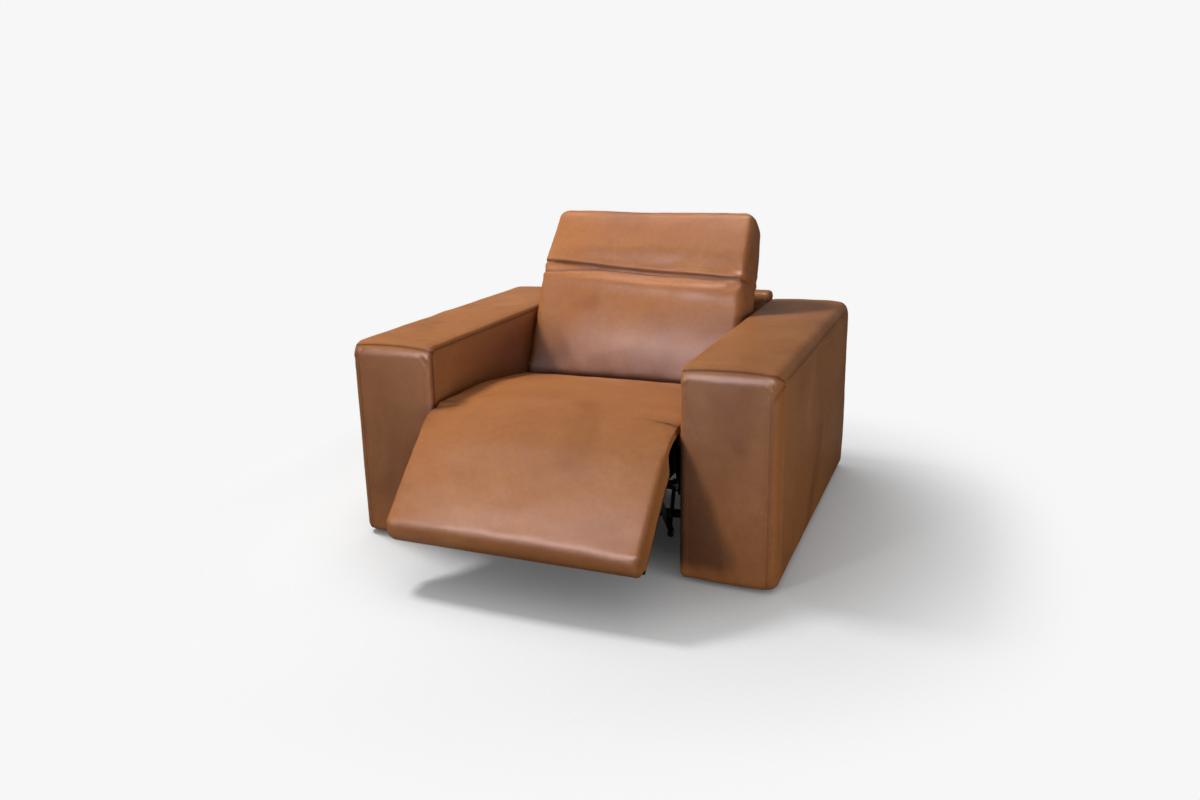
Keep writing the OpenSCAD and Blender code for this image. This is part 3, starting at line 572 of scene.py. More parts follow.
def arm_seams(p, places, w, low, high, side):
    """How far each point of the arm's leather is from its sewn lines: (side panels, front cross, dart)."""
    half = (high - low) / 2
    d = p - (low + high) / 2
    outer = d[:, 0] * side > 0
    edge = np.where(outer, OUTER_EDGE, INNER_EDGE)
    flat = half[0] - edge
    beyond = np.maximum(flat - np.abs(d[:, 0]), 0)
    rim = np.minimum(half[1] - np.abs(d[:, 1]), half[2] - np.abs(d[:, 2]))
    # outer panel: the seam is low on the rounding along the top and at its start down the front
    down = ramp(high[2] - places[:, 2], 0.020, 0.075) * ramp(places[:, 1], low[1] + 0.075, low[1] + 0.035)
    at = np.where(outer, 0.96 - 0.90 * down, 1.0)
    round_way = np.abs(w - at) * edge * QUARTER
    on_side = w > 0.999
    rear_y = high[1] - PANEL_REAR
    bend = 0.050
    qy = places[:, 1] - (rear_y - bend)
    qz = places[:, 2] - (high[2] - OUTER_EDGE - bend)
    inside = np.hypot(np.maximum(qy, 0), np.maximum(qz, 0)) + np.minimum(np.maximum(qy, qz), 0) - bend
    side_way = np.where(outer, np.abs(inside), rim) + (1 - at) * edge * QUARTER
    behind = outer & ~on_side & (places[:, 1] > rear_y - bend)
    to_side = np.where(on_side, side_way, round_way + beyond)
    to_side = np.where(behind, np.maximum(to_side, places[:, 1] - rear_y + bend), to_side)
    front = p[:, 1] < low[1] + 1e-6
    # the front panel rolls over the top's edge and is sewn partway round it, higher in the middle
    turn = FRONT_SEAM_AT + 0.15 * crown(d[:, 0] / half[0], 2.0)
    ahead = low[1] + ARM_CORNER - places[:, 1]
    above = places[:, 2] - high[2] + ARM_CORNER
    round_corner = np.arctan2(np.maximum(above, 0), np.maximum(ahead, 1e-6))
    to_front = np.abs((round_corner - turn) * ARM_CORNER + np.minimum(above, 0) + np.maximum(-ahead, 0))
    to_front = np.where(on_side, 1.0, to_front)
    dart_y = low[1] + DART * (high[1] - low[1])
    in_dart = ramp(places[:, 2], 0.14, 0.20) * ramp(places[:, 2], 0.47, 0.42)
    to_dart = np.where(on_side & outer, np.abs(places[:, 1] - dart_y) + 0.02 * (1 - in_dart), 1.0)
    return to_side, to_front, to_dart, on_side, outer, front


def build_arm(side):
    """The leather of one arm, with its seams and stitching. side is 1 for the sitter's left."""
    low = np.array(ARM_LOW)
    high = np.array(ARM_HIGH)
    if side < 0:
        low, high = np.array([-high[0], low[1], low[2]]), np.array([-low[0], high[1], high[2]])
    low[2] -= ARM_HEM
    high[2] += ARM_TOP_SWELL
    if side > 0:
        high[0] += ARM_SIDE_SWELL
    else:
        low[0] -= ARM_SIDE_SWELL
    word = "left" if side > 0 else "right"
    steps = np.array([0.13, 0.28, 0.46, 0.64, 0.82])
    left_edge, right_edge = (INNER_EDGE, OUTER_EDGE) if side > 0 else (OUTER_EDGE, INNER_EDGE)
    xs = lines(low[0] + left_edge, high[0] - right_edge, 0.011,
               (low[0] + left_edge + 0.004, high[0] - right_edge - 0.004), 0.005)
    xs = np.concatenate([[low[0]], low[0] + left_edge * (1 - steps[::-1]), xs,
                         high[0] - right_edge * (1 - steps), [high[0]]])
    rear_y = high[1] - PANEL_REAR
    dart_y = low[1] + DART * (high[1] - low[1])
    ys = lines(low[1], high[1], 0.012, (low[1] + 0.006, dart_y, rear_y, high[1] - 0.006), 0.014)
    seam_z = high[2] - 0.008
    zs = lines(low[2], high[2], 0.012, (low[2] + 0.006, high[2] - OUTER_EDGE, high[2] - 0.006), 0.012)
    p, quads, index = box_surface(xs, ys, zs)
    corner = lambda f, t: ARM_FOOT + (np.where(f, ARM_CORNER, ARM_REAR) - ARM_FOOT) * ramp(t, -0.5, 0.5)
    places, w = round_block(p, low, high, corner, (left_edge, right_edge))
    to_side, to_front, to_dart, on_side, outer, front = arm_seams(p, places, w, low, high, side)
    normals = surface_normals(places, quads)
    d = (p - (low + high) / 2) / ((high - low) / 2)
    bulge = np.where(outer, 0.0065, 0.0055)
    puff = np.where(on_side, bulge * crown(d[:, 1], 8) * crown(d[:, 2], 5), 0)
    puff = np.where(on_side, puff, 0.0055 * crown(d[:, 0], 3.0) * ramp(1 - w, 0.0, 0.6))
    off_seam = ramp(to_side, 0.0, 0.03)
    for to, depth in ((to_side, 0.0021), (to_front, 0.0012), (to_dart, 0.0017)):
        puff -= depth * ridge(to, SEAM_WIDTH)
        puff += 0.35 * depth * ridge(to - 0.009, 0.006)
    along = places[:, 1] + places[:, 2]
    gathers = np.sin(along / 0.0052 + 2.4 * np.sin(along / 0.09)) * (0.6 + 0.4 * np.sin(along / 0.037))
    puff += 0.00045 * gathers * ridge(to_side - 0.004, 0.008)
    puff += 0.0019 * ripple(places, 0.34, 11 + side) * off_seam
    puff += 0.0007 * ripple(places, 0.085, 23 + side) * off_seam
    # slack creases below the front's top corners
    for turn, seed in ((1.0, 3), (-1.0, 4)):
        cx = (low[0] + high[0]) / 2 + turn * (high[0] - low[0]) * 0.40
        q = (places[:, 0] - cx) * turn + (places[:, 2] - seam_z) * 0.9
        near = ridge(np.hypot(places[:, 0] - cx, places[:, 2] - seam_z + 0.03), 0.05)
        puff += np.where(front, 0.0008 * np.sin(q / 0.0048 + seed) * near, 0)
    under = p[:, 2] < low[2] + 1e-6
    puff = np.where(under, 0.0, puff)
    final = places + normals * puff[:, None]
    final[:, 2] = np.maximum(final[:, 2], low[2])
    rim = np.minimum(high[0] - low[0] - np.abs(2 * places[:, 0] - low[0] - high[0]),
                     high[1] - low[1] - np.abs(2 * places[:, 1] - low[1] - high[1])) / 2
    final[:, 2] += np.where(under, ARM_HEM * ramp(rim, 0.012, 0.030), 0)
    inner_wall = abs(low[0] if side > 0 else high[0]) - 0.0025
    final[:, 0] = np.where(np.abs(final[:, 0]) < inner_wall, np.sign(side) * inner_wall, final[:, 0])
    # seam paints dark lines, the seams' joints with painted shade of their grooves; fold makes a darker band
    # beside the side and front seams
    seam = np.maximum.reduce([ridge(to_side, 0.0021), ridge(to_front, 0.0024), ridge(to_dart, 0.0018)])
    fold = np.clip(0.4 * ridge(to_side, 0.009) + 0.3 * ridge(to_front, 0.008), 0, 1)
    piece = mesh_piece(f"arm_leather_{word}", final, quads, material("leather_arm"), seam=seam, fold=fold)
    normals = surface_normals(final, quads)
    rows = []

    def row(ids):
        ids = np.array([i for i in ids if i >= 0])
        rows.append((final[ids], normals[ids]))

    top_k = nearest(zs, seam_z - 0.010)
    outer_x = (high[0] - right_edge) if side > 0 else (low[0] + left_edge)
    inner_x = (low[0] + left_edge) if side > 0 else (high[0] - right_edge)
    for x in (outer_x - side * 0.004, outer_x + side * 0.13 * OUTER_EDGE, inner_x + side * 0.004):
        row(index[nearest(xs, x), 0, 2:top_k])
    row(index[nearest(xs, inner_x + side * 0.004), 2:-4, -1])
    row(index[nearest(xs, inner_x + side * 0.010), 0, 2:top_k])
    face = -1 if side > 0 else 0
    k_top, k_low = nearest(zs, high[2] - OUTER_EDGE - 0.005), nearest(zs, low[2] + 0.03)
    row(index[face, 4:nearest(ys, rear_y - 0.055), k_top])
    row(index[face, nearest(ys, rear_y - 0.005), k_low:nearest(zs, high[2] - OUTER_EDGE - 0.055)])
    seams = stitch_piece(f"arm_stitching_{word}", rows, material("thread"))
    for made in (piece, seams):
        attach(made, "base")
    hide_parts(f"arm_cover_{word}", f"arm_foam_{word}")


# ---- Outside back ----

OUTER_SETTLED = 0.008
OUTER_BACK_EDGE = 0.012
OUTER_BACK_CORNER = 0.022


def build_outside_back():
    """The leather panel that closes the chair's rear, with one row of stitches under its top edge."""
    low, high = np.array(OUTER_LOW), np.array(OUTER_HIGH)
    high[2] -= OUTER_SETTLED
    edge = OUTER_BACK_EDGE
    near_x = (-0.12, 0.12)
    xs = lines(low[0] + edge, high[0] - edge, 0.016, near_x, 0.012)
    xs = np.concatenate([[low[0], low[0] + edge * 0.33, low[0] + edge * 0.66], xs,
                         [high[0] - edge * 0.66, high[0] - edge * 0.33, high[0]]])
    ys = lines(low[1], high[1], 0.009)
    zs = lines(low[2], high[2], 0.014, (high[2] - 0.03,), 0.012)
    p, quads, index = box_surface(xs, ys, zs)
    places, w = round_block(p, low, high, lambda f, t: np.full(len(p), OUTER_BACK_CORNER), (edge, edge))
    normals = surface_normals(places, quads)
    rear = p[:, 1] > high[1] - 1e-6
    seam = np.where(rear, np.abs(p[:, 2] - high[2] + 0.03), 1.0)
    puff = -0.0025 * ridge(seam, 0.0034) + 0.0009 * ridge(seam - 0.01, 0.006)
    d = (p - (low + high) / 2) / ((high - low) / 2)
    puff += np.where(rear, -0.004 * crown(d[:, 0], 4) * crown(d[:, 2], 4), 0)
    puff += 0.0012 * ripple(places, 0.3, 5)
    final = places + normals * np.where(w > 0.9, np.minimum(puff, 0), puff)[:, None]
    piece = mesh_piece("outside_back_leather", final, quads, material("leather_arm"))
    normals = surface_normals(final, quads)
    k = nearest(zs, high[2] - 0.036)
    ids = index[3:-3, -1, k]
    seams = stitch_piece("outside_back_stitching", [(final[ids], normals[ids])], material("thread"))
    for made in (piece, seams):
        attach(made, "base")
    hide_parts("outside_back_cover")


# ---- Curved cushions ----

class Spine:
    """A smooth curve through points in the side view, with the way along it and the way out of it."""

    def __init__(self, points, out_left):
        pts = np.array(points, float)
        ends = np.vstack([2 * pts[0] - pts[1], pts, 2 * pts[-1] - pts[-2]])
        fine = []
        for a, b, c, d in zip(ends[:-3], ends[1:-2], ends[2:-1], ends[3:]):
            t = np.linspace(0, 1, 40, endpoint=False)[:, None]
            fine.append(0.5 * (2 * b + (c - a) * t + (2 * a - 5 * b + 4 * c - d) * t ** 2
                               + (3 * b - a - 3 * c + d) * t ** 3))
        pts = np.vstack(fine + [pts[-1:]])
        for _ in range(60):
            pts[1:-1] = pts[1:-1] * 0.5 + (pts[:-2] + pts[2:]) * 0.25
        self.s = np.concatenate([[0], np.cumsum(np.linalg.norm(np.diff(pts, axis=0), axis=1))])
        self.pts = pts
        self.length = self.s[-1]
        self.side = 1.0 if out_left else -1.0

    def at(self, s):
        s = np.asarray(s, float)
        inside = np.clip(s, 0, self.length)
        p = np.stack([np.interp(inside, self.s, self.pts[:, i]) for i in range(2)], -1)
        e = 0.004
        a = np.clip(inside - e, 0, self.length)
        b = np.clip(inside + e, 0, self.length)
        pa = np.stack([np.interp(a, self.s, self.pts[:, i]) for i in range(2)], -1)
        pb = np.stack([np.interp(b, self.s, self.pts[:, i]) for i in range(2)], -1)
        way = (pb - pa) / np.maximum(np.linalg.norm(pb - pa, axis=-1, keepdims=True), 1e-9)
        out = np.stack([-way[..., 1], way[..., 0]], -1) * self.side
        return p + way * (s - inside)[..., None], way, out

    def nearest(self, point):
        return self.s[int(np.argmin(np.linalg.norm(self.pts - np.array(point), axis=1)))]


def along_spine(spine, places):
    """Bends straight places (x, s, t) onto the spine; t is the height above it."""
    at, _, out = spine.at(places[:, 1])
    yz = at + out * places[:, 2:3]
    return np.stack([places[:, 0], yz[:, 0], yz[:, 1]], 1)


SEAT_EDGE = 0.016
SEAT_DEEP = 0.088
SEAT_CROWN = 0.028
FOOT_DEEP = 0.074
FOOT_CROWN = 0.017


def seat_spine():
    """The top line of the seat and footrest along their sides, from the seat's rear forward."""
    f = Vector((FOOT_HINGE.y, FOOT_HINGE.z))
    rear = SEAT_HIGH.y
    down = Vector((-math.cos(FOOT_SLOPE), -math.sin(FOOT_SLOPE)))
    line = ((0.372, 0.029), (0.246, 0.045), (0.130, 0.047), (0.046, 0.044), (-0.023, 0.030), (-0.068, 0.003),
            (-0.126, -0.046), (-0.181, -0.100), (-0.233, -0.157))
    foot = f + Vector(line[-1])
    points = [(rear, f[1] + 0.010), (rear - 0.10, f[1] + 0.022)]
    points += [(f[0] + y, f[1] + z) for y, z in line if f[0] + y < rear - 0.16]
    points += [tuple(foot + down * l) for l in (0.040, 0.076)]
    return Spine([(p[0], p[1]) for p in points], False)


def build_seat():
    """The seat and footrest as one crowned cushion bent along their side line."""
    spine = seat_spine()
    half = SEAT_HIGH.x - 0.003
    length = spine.length
    hinge_s = spine.nearest((FOOT_HINGE.y - 0.016, FOOT_HINGE.z + 0.028))
    low = np.array([-half, 0.0, -SEAT_DEEP])
    high = np.array([half, length, 0.0])
    edge = np.array([0.25, 0.5, 0.75]) * SEAT_EDGE
    xs = lines(-half + SEAT_EDGE, half - SEAT_EDGE, 0.010)
    xs = np.concatenate([[-half], -half + edge, xs, half - edge[::-1], [half]])
    ys = lines(0.0, length, 0.0095, (hinge_s - 0.055, hinge_s - 0.02, hinge_s + 0.03), 0.02, 0.0035)
    zs = lines(-SEAT_DEEP, 0.0, 0.008)
    p, quads, index = box_surface(xs, ys, zs)
    corner = lambda f, t: np.where(f, 0.020, np.where(t > 0, 0.038, 0.032))
    places, w = round_block(p, low, high, corner, (SEAT_EDGE, SEAT_EDGE))
    x, s, t = places.T
    u = x / half
    seat_part = 1 - ramp(s, hinge_s - 0.10, hinge_s + 0.06)
    foot_part = ramp(s, hinge_s - 0.02, hinge_s + 0.10)
    # underside: full under the seat, raised over the hinge's steelwork, thinner under the footrest
    side = ramp(np.abs(x), 0.288, 0.300)
    raised = ramp(s, hinge_s - 0.135, hinge_s - 0.095) * (1 - ramp(s, hinge_s + 0.045, hinge_s + 0.085))
    deep = SEAT_DEEP + (FOOT_DEEP - SEAT_DEEP) * foot_part
    deep = deep * (1 - raised * (0.42 + 0.34 * side))
    t = t * deep / SEAT_DEEP
    bent = along_spine(spine, np.stack([x, s, t], 1))
    _, _, out = spine.at(s)
    lift = np.stack([np.zeros(len(s)), out[:, 0], out[:, 1]], 1)
    topness = ramp(t / deep, -0.45, -0.02)
    bulge = SEAT_CROWN * crown(u, 2.2) * ramp(s, 0.0, 0.20) * seat_part
    bulge += FOOT_CROWN * crown(u, 2.6) * foot_part * (1 - 0.5 * ramp(s, length - 0.10, length))
    bulge += 0.009 * crown(u, 3.0) * ridge(s - hinge_s - 0.01, 0.09)
    bent += lift * (bulge * topness)[:, None]
    normals = surface_normals(bent, quads)
    puff = np.zeros(len(p))
    # side boxing bulges a little
    puff += np.where(w > 0.999, 0.004 * crown((t / deep + 0.5) * 2, 2.0), 0)
    # wrinkles where the leather turns at the hinge
    wr = ridge(s - hinge_s + 0.02, 0.05)
    near_side = ramp(np.abs(u), 0.60, 0.98)
    wave = np.sin((s + 0.03 * np.abs(u)) / 0.0125 + 1.4 * np.sin(x / 0.05))
    puff += topness * wr * near_side * 0.0017 * wave
    crease = ridge(s - hinge_s + 0.040 + 0.010 * np.abs(u), 0.0048) * ramp(np.abs(u), 0.66, 0.97)
    puff -= topness * 0.0042 * crease
    puff += topness * 0.0026 * ridge(s - hinge_s + 0.030, 0.005) * ramp(np.abs(u), 0.58, 0.92)
    puff += topness * 0.0021 * ripple(np.stack([x, s], 1), 0.27, 3)
    puff += topness * 0.0006 * ripple(np.stack([x, s], 1), 0.06, 9)
    # ears at the footrest's lower corners
    ear = ridge(s - length + 0.016, 0.012) * ramp(np.abs(u), 0.955, 0.995)
    puff += ear * 0.004
    ear_line = ridge(s - length + 0.030, 0.004) * ramp(np.abs(u), 0.94, 0.99)
    puff -= ear_line * 0.0025
    final = bent + normals * puff[:, None]
    limit = SEAT_HIGH.x + 0.002
    final[:, 0] = np.clip(final[:, 0], -limit, limit)
    # painted shade: the crease, the hinge wrinkles, the footrest's front turn and the seat's rear under the
    # back are painted darker, and the crease gets a dark seam line; the rounded side edges are darker too
    turned = ridge(s - length + 0.012, 0.020) * topness
    edges = ramp(w, 0.25, 0.9) * (1 - ramp(w, 0.995, 1.0))
    fold = 0.6 * crease * topness + 0.35 * turned + 0.30 * edges + 0.2 * wr * near_side * topness
    fold = np.maximum(np.clip(fold, 0, 1), 0.6 * (1 - ramp(s, 0.0, 0.07)))
    seam = 0.6 * crease * topness
    piece = mesh_piece("seat_leather", final, quads, material("leather"), seam=seam, fold=fold)
    normals = surface_normals(final, quads)
    rows = []
    for f in (0, -1):
        ids = index[f, nearest(ys, hinge_s + 0.05):-3, nearest(zs, -0.014)]
        rows.append((final[ids], normals[ids]))
    seams = stitch_piece("footrest_stitching", rows, material("thread"))
    start, _, _ = spine.at(hinge_s - 0.085)
    end, _, _ = spine.at(hinge_s + 0.075)
    for made in (piece, seams):
        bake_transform(made)
    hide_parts("seat_cover", "seat_foam", "footrest_cover", "footrest_foam")


BACK_DEEP = 0.148
BACK_EDGE = 0.024
BACK_CROWN = 0.027
BACK_TAPER = 0.018
BACK_SEAM = 0.118
HEAD_CROWN = 0.012
HEAD_TAPER = 0.044
HINGE_DEEP = 0.074
HEAD_LEAN = math.radians(14)


def back_spine():
    """The front line of the back and headrest, from the bottom up."""
    b = Vector((BACK_HINGE.y, BACK_HINGE.z))
    up = Vector((math.sin(BACK_LEAN), math.cos(BACK_LEAN)))
    ahead = Vector((-math.cos(BACK_LEAN), math.sin(BACK_LEAN)))
    face = b + ahead * 0.098
    lean = BACK_LEAN + HEAD_LEAN
    up2 = Vector((math.sin(lean), math.cos(lean)))
    ahead2 = Vector((-math.cos(lean), math.sin(lean)))
    h = Vector((HEAD_HINGE.y, HEAD_HINGE.z))
    head = h + ahead2 * 0.076
    points = [face + up * l for l in (0.0, 0.08, 0.16, 0.24, 0.31)]
    points += [head + up2 * l for l in (0.03, 0.09, 0.15, 0.214)]
    return Spine([(p[0], p[1]) for p in points], True)


def build_back():
    """The back and headrest as one crowned cushion with a fold across the headrest's turn."""
    spine = back_spine()
    length = spine.length
    half = BACK_HIGH.x
    fold = spine.nearest((HEAD_HINGE.y - 0.070, HEAD_HINGE.z + 0.034))
    low = np.array([-half, 0.0, -BACK_DEEP])
    high = np.array([half, length, 0.0])
    edge = np.array([0.2, 0.4, 0.6, 0.8]) * BACK_EDGE
    xs = lines(-half + BACK_EDGE, half - BACK_EDGE, 0.010)
    xs = np.concatenate([[-half], -half + edge, xs, half - edge[::-1], [half]])
    ys = lines(0.0, length, 0.0095, (fold - 0.022, fold + 0.014), 0.02, 0.0028)
    zs = lines(-BACK_DEEP, 0.0, 0.010, (-BACK_SEAM,), 0.008)
    p, quads, index = box_surface(xs, ys, zs)
    corner = lambda f, t: np.where(f, 0.030, np.where(t > 0, 0.036, 0.026))
    places, w = round_block(p, low, high, corner, (BACK_EDGE, BACK_EDGE))
    x, s, t = places.T
    u = x / half
    # narrower towards the top, with rounded upper corners
    in_front = ramp(t / BACK_DEEP, -0.72, -0.25)
    width = 1 - BACK_TAPER * ramp(s, 0.0, fold) * in_front
    width = width - (HEAD_TAPER - BACK_TAPER * in_front) * ramp(s, fold + 0.02, length)
    top_round = 0.036
    over = np.clip((s - (length - top_round)) / top_round, 0, 1)
    shrink = top_round * (1 - np.sqrt(np.clip(1 - over ** 2, 0, 1))) * 0.75
    x = np.sign(x) * np.maximum(np.abs(x) * width - shrink * ramp(np.abs(u), 0.55, 1.0), 0)
    x = x + 0.004 * ramp(s, fold + 0.02, fold + 0.14)
    s = s - 0.008 * crown(u, 2.0) * ramp(s, length - 0.12, length)
    # the rear stays open over the back's hinge
    deep = HINGE_DEEP + (BACK_DEEP - HINGE_DEEP) * ramp(s, 0.034, 0.058)
    deep = deep - 0.018 * ramp(s, fold, length)
    t = t * deep / BACK_DEEP
    bent = along_spine(spine, np.stack([x, s, t], 1))
    _, _, out = spine.at(s)
    lift = np.stack([np.zeros(len(s)), out[:, 0], out[:, 1]], 1)
    front = ramp(t / deep, -0.5, -0.03)
    body = crown(u, 2.3) * np.sin(math.pi * np.clip(s / (fold - 0.03), 0, 1))
    head = HEAD_CROWN * crown(u, 2.4) * ramp(s, fold + 0.01, fold + 0.08)
    bulge = BACK_CROWN * body + head * (1 - 0.6 * ramp(s, length - 0.08, length))
    bent += lift * (bulge * front)[:, None]
    normals = surface_normals(bent, quads)
    puff = np.zeros(len(p))
    puff += np.where(w > 0.999, 0.0035 * crown((t / deep + 0.5) * 2, 2.0), 0)
    # one crease slants down across the headrest's turn, with a rolled edge above it and a full shoulder
    # below; a second one runs in from one side and closes on it
    crease_line = fold + 0.004 - 0.020 * u - 0.004 * crown(u, 2.0)
    second_line = crease_line - 0.008 - 0.028 * ramp(-u, 0.35, 1.0)
    v = crease_line - s
    creased = 0.55 + 0.45 * ramp(np.abs(u), 0.2, 0.95)
    main_fold = ridge(v, 0.0042) * creased
    second = ridge(second_line - s, 0.0036) * (1 - ramp(u, 0.1, 0.7)) * (0.5 + 0.5 * ramp(-u, 0.0, 0.8))
    roll = ridge(v + 0.010, 0.008)
    hollow = ridge(v - 0.010, 0.012) * crown(u, 4.0)
    shoulder = ridge(v - 0.050, 0.022) * crown(u * 0.97, 3.0)
    fan = np.hypot((u - 1.02) * half, v - 0.004)
    rays = np.sin(np.arctan2(v - 0.004, (1.02 - u) * half) * 9.0) * ridge(fan - 0.045, 0.035) * (u > 0.6)
    puff += front * (-0.0060 * main_fold - 0.0046 * second + 0.0026 * roll
                     - 0.0085 * hollow + 0.0095 * shoulder)
    puff += front * 0.0016 * rays
    at_side = ramp(np.abs(u), 0.80, 0.99)
    gathers = np.sin((s - fold) / 0.0062 + 1.2 * np.sin(x / 0.04))
    puff += 0.0016 * gathers * ridge(s - fold, 0.045) * at_side
    puff += front * 0.0020 * ripple(np.stack([x, s], 1), 0.25, 17)
    puff += front * 0.0006 * ripple(np.stack([x, s], 1), 0.055, 19)
    seam = np.abs(p[:, 2] + BACK_SEAM)
    on_side = w > 0.6
    puff -= np.where(on_side, 0.0026 * ridge(seam, 0.0034), 0)
    final = bent + normals * puff[:, None]
    # painted shade: the headrest's creases, the hollow below them and the back's bottom against the seat are
    # painted darker, and the creases get dark lines like the side seam; the rounded edges are darker too
    creases = np.clip(main_fold * 0.8 + second * 0.8, 0, 1) * front
    edges = ramp(w, 0.3, 0.9)
    worn = np.clip(0.8 * creases + 0.35 * ridge(v - 0.006, 0.016) * front + 0.42 * edges, 0, 1)
    worn = np.maximum(worn, 0.7 * (1 - ramp(s, 0.05, 0.16)))
    sewn = np.clip(0.55 * creases + np.where(on_side, 0.9 * ridge(seam, 0.0014), 0), 0, 1)
    piece = mesh_piece("back_leather", final, quads, material("leather"), seam=sewn, fold=worn)
    normals = surface_normals(final, quads)
    rows = []
    k = nearest(zs, -0.112)
    for f in (0, -1):
        ids = index[f, 12:, k]
        rows.append((final[ids], normals[ids]))
    ids = index[:, -1, k]
    rows.append((final[ids], normals[ids]))
    seams = stitch_piece("back_stitching", rows, material("thread"))
    start, _, _ = spine.at(fold - 0.050)
    end, _, _ = spine.at(fold + 0.035)
    for made in (piece, seams):
        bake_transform(made)
    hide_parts("back_cover", "back_foam", "headrest_cover", "headrest_foam")


# ---- Finishes on the frame's own parts ----

def finish_frame():
    """Gives each of the frame's own parts a finish, chosen by how its name starts."""
    kinds = {
        "plywood": ("arm_frame", "outside_back_frame", "back_frame", "headrest_board"),
        "dust_cloth": ("footrest_board", "seat_rails"),
        "zinc": ("frame_bolts", "seat_springs", "seat_pins", "footrest_pins", "crank_pins", "recline_rail",
                 "footrest_rail"),
        "nylon": ("slide_blocks", "footrest_carriage", "headrest_carriage"),
        "button": ("button_",),
        "plastic": ("recline_motor", "power_supply", "power_inlet", "control_panel", "footrest_motor",
                    "headrest_motor", "glide_feet"),
    }
    for name, part in frame["nodes"].items():
        chosen = "black_steel"
        for key, starts in kinds.items():
            if name.startswith(starts):
                chosen = key
        part.data.materials.clear()
        part.data.materials.append(material(chosen))


# ---- Stage ----

FLOOR_REACH = 14.0
SHADE_REACH = 0.7
SHADE_NEAR = 0.75
SHADE_FAR = 1.4
NEAR_GLOW = 0.42
UNSEEN_FLOOR = (0.10, 0.10, 0.10, 1)
COOL_WHITE = (0.84, 0.87, 1.0)
TOP_SHARE = 0.03
TOP_SPREAD = math.radians(25)


def build_floor(looks):
    """A pale floor that is softly shaded round the chair, partly by the lamps and partly by painted shade
    from its glow dimmed by occlusion, and duller where it only lights the leather.
    """
    mesh = bpy.data.meshes.new("studio_floor")
    r = FLOOR_REACH
    mesh.from_pydata([(-r, -r, 0), (r, -r, 0), (r, r, 0), (-r, r, 0)], [], [(0, 1, 2, 3)])
    plane = bpy.data.objects.new("studio_floor", mesh)
    bpy.context.scene.collection.objects.link(plane)
    made, tree, shader = start_material("studio_floor")
    shader.inputs["Base Color"].default_value = (looks.floor, looks.floor, looks.floor, 1)
    shader.inputs["Roughness"].default_value = 0.9
    shader.inputs["Specular IOR Level"].default_value = 0.0
    glow = tree.nodes.new("ShaderNodeEmission")
    hidden = tree.nodes.new("ShaderNodeAmbientOcclusion")
    hidden.inputs["Distance"].default_value = SHADE_REACH
    hidden.samples = 8
    # the glow is dimmed by ambient occlusion: painted shade round and under the chair
    painted_shade_ao = math_node(tree, "POWER", hidden.outputs["AO"], 1.15)
    tree.links.new(math_node(tree, "MULTIPLY", painted_shade_ao, looks.backdrop), glow.inputs["Strength"])
    mix = tree.nodes.new("ShaderNodeMixShader")
    where = tree.nodes.new("ShaderNodeTexCoord")
    far = tree.nodes.new("ShaderNodeVectorMath")
    far.operation = "LENGTH"
    tree.links.new(where.outputs["Object"], far.inputs[0])
    share = remap(tree, far.outputs["Value"], SHADE_NEAR, SHADE_FAR, NEAR_GLOW, 1.0)
    tree.links.new(share, mix.inputs[0])
    tree.links.new(shader.outputs[0], mix.inputs[1])
    tree.links.new(glow.outputs[0], mix.inputs[2])
    dull = tree.nodes.new("ShaderNodeBsdfDiffuse")
    dull.inputs["Color"].default_value = UNSEEN_FLOOR
    ray = tree.nodes.new("ShaderNodeLightPath")
    seen = tree.nodes.new("ShaderNodeMixShader")
    tree.links.new(ray.outputs["Is Camera Ray"], seen.inputs[0])
    tree.links.new(dull.outputs[0], seen.inputs[1])
    tree.links.new(mix.outputs[0], seen.inputs[2])
    out = next(n for n in tree.nodes if n.type == "OUTPUT_MATERIAL")
    tree.links.new(seen.outputs[0], out.inputs["Surface"])
    mesh.materials.append(made)


def build_backdrop(looks):
    """An even backdrop that the camera sees, and a dim light from all round."""
    world = bpy.data.worlds.new("studio")
    bpy.context.scene.world = world
    world.use_nodes = True
    tree = world.node_tree
    tree.nodes.clear()
    out = tree.nodes.new("ShaderNodeOutputWorld")
    seen = tree.nodes.new("ShaderNodeBackground")
    seen.inputs["Color"].default_value = (looks.backdrop, looks.backdrop, looks.backdrop, 1)
    lit = tree.nodes.new("ShaderNodeBackground")
    lit.inputs["Color"].default_value = (1, 1, 1, 1)
    lit.inputs["Strength"].default_value = looks.sky
    ray = tree.nodes.new("ShaderNodeLightPath")
    mix = tree.nodes.new("ShaderNodeMixShader")
    tree.links.new(ray.outputs["Is Camera Ray"], mix.inputs[0])
    tree.links.new(lit.outputs[0], mix.inputs[1])
    tree.links.new(seen.outputs[0], mix.inputs[2])
    tree.links.new(mix.outputs[0], out.inputs["Surface"])


def build_lamp(name, place, aim, size, power):
    """An area lamp that points at a place and that the camera doesn't see."""
    lamp = bpy.data.lights.new(name, "AREA")
    lamp.shape = "RECTANGLE"
    lamp.size, lamp.size_y = size
    lamp.energy = power
    holder = bpy.data.objects.new(name, lamp)
    bpy.context.scene.collection.objects.link(holder)
    holder.location = place
    holder.rotation_euler = (Vector(aim) - Vector(place)).to_track_quat("-Z", "Y").to_euler()
    holder.visible_camera = False
    return holder


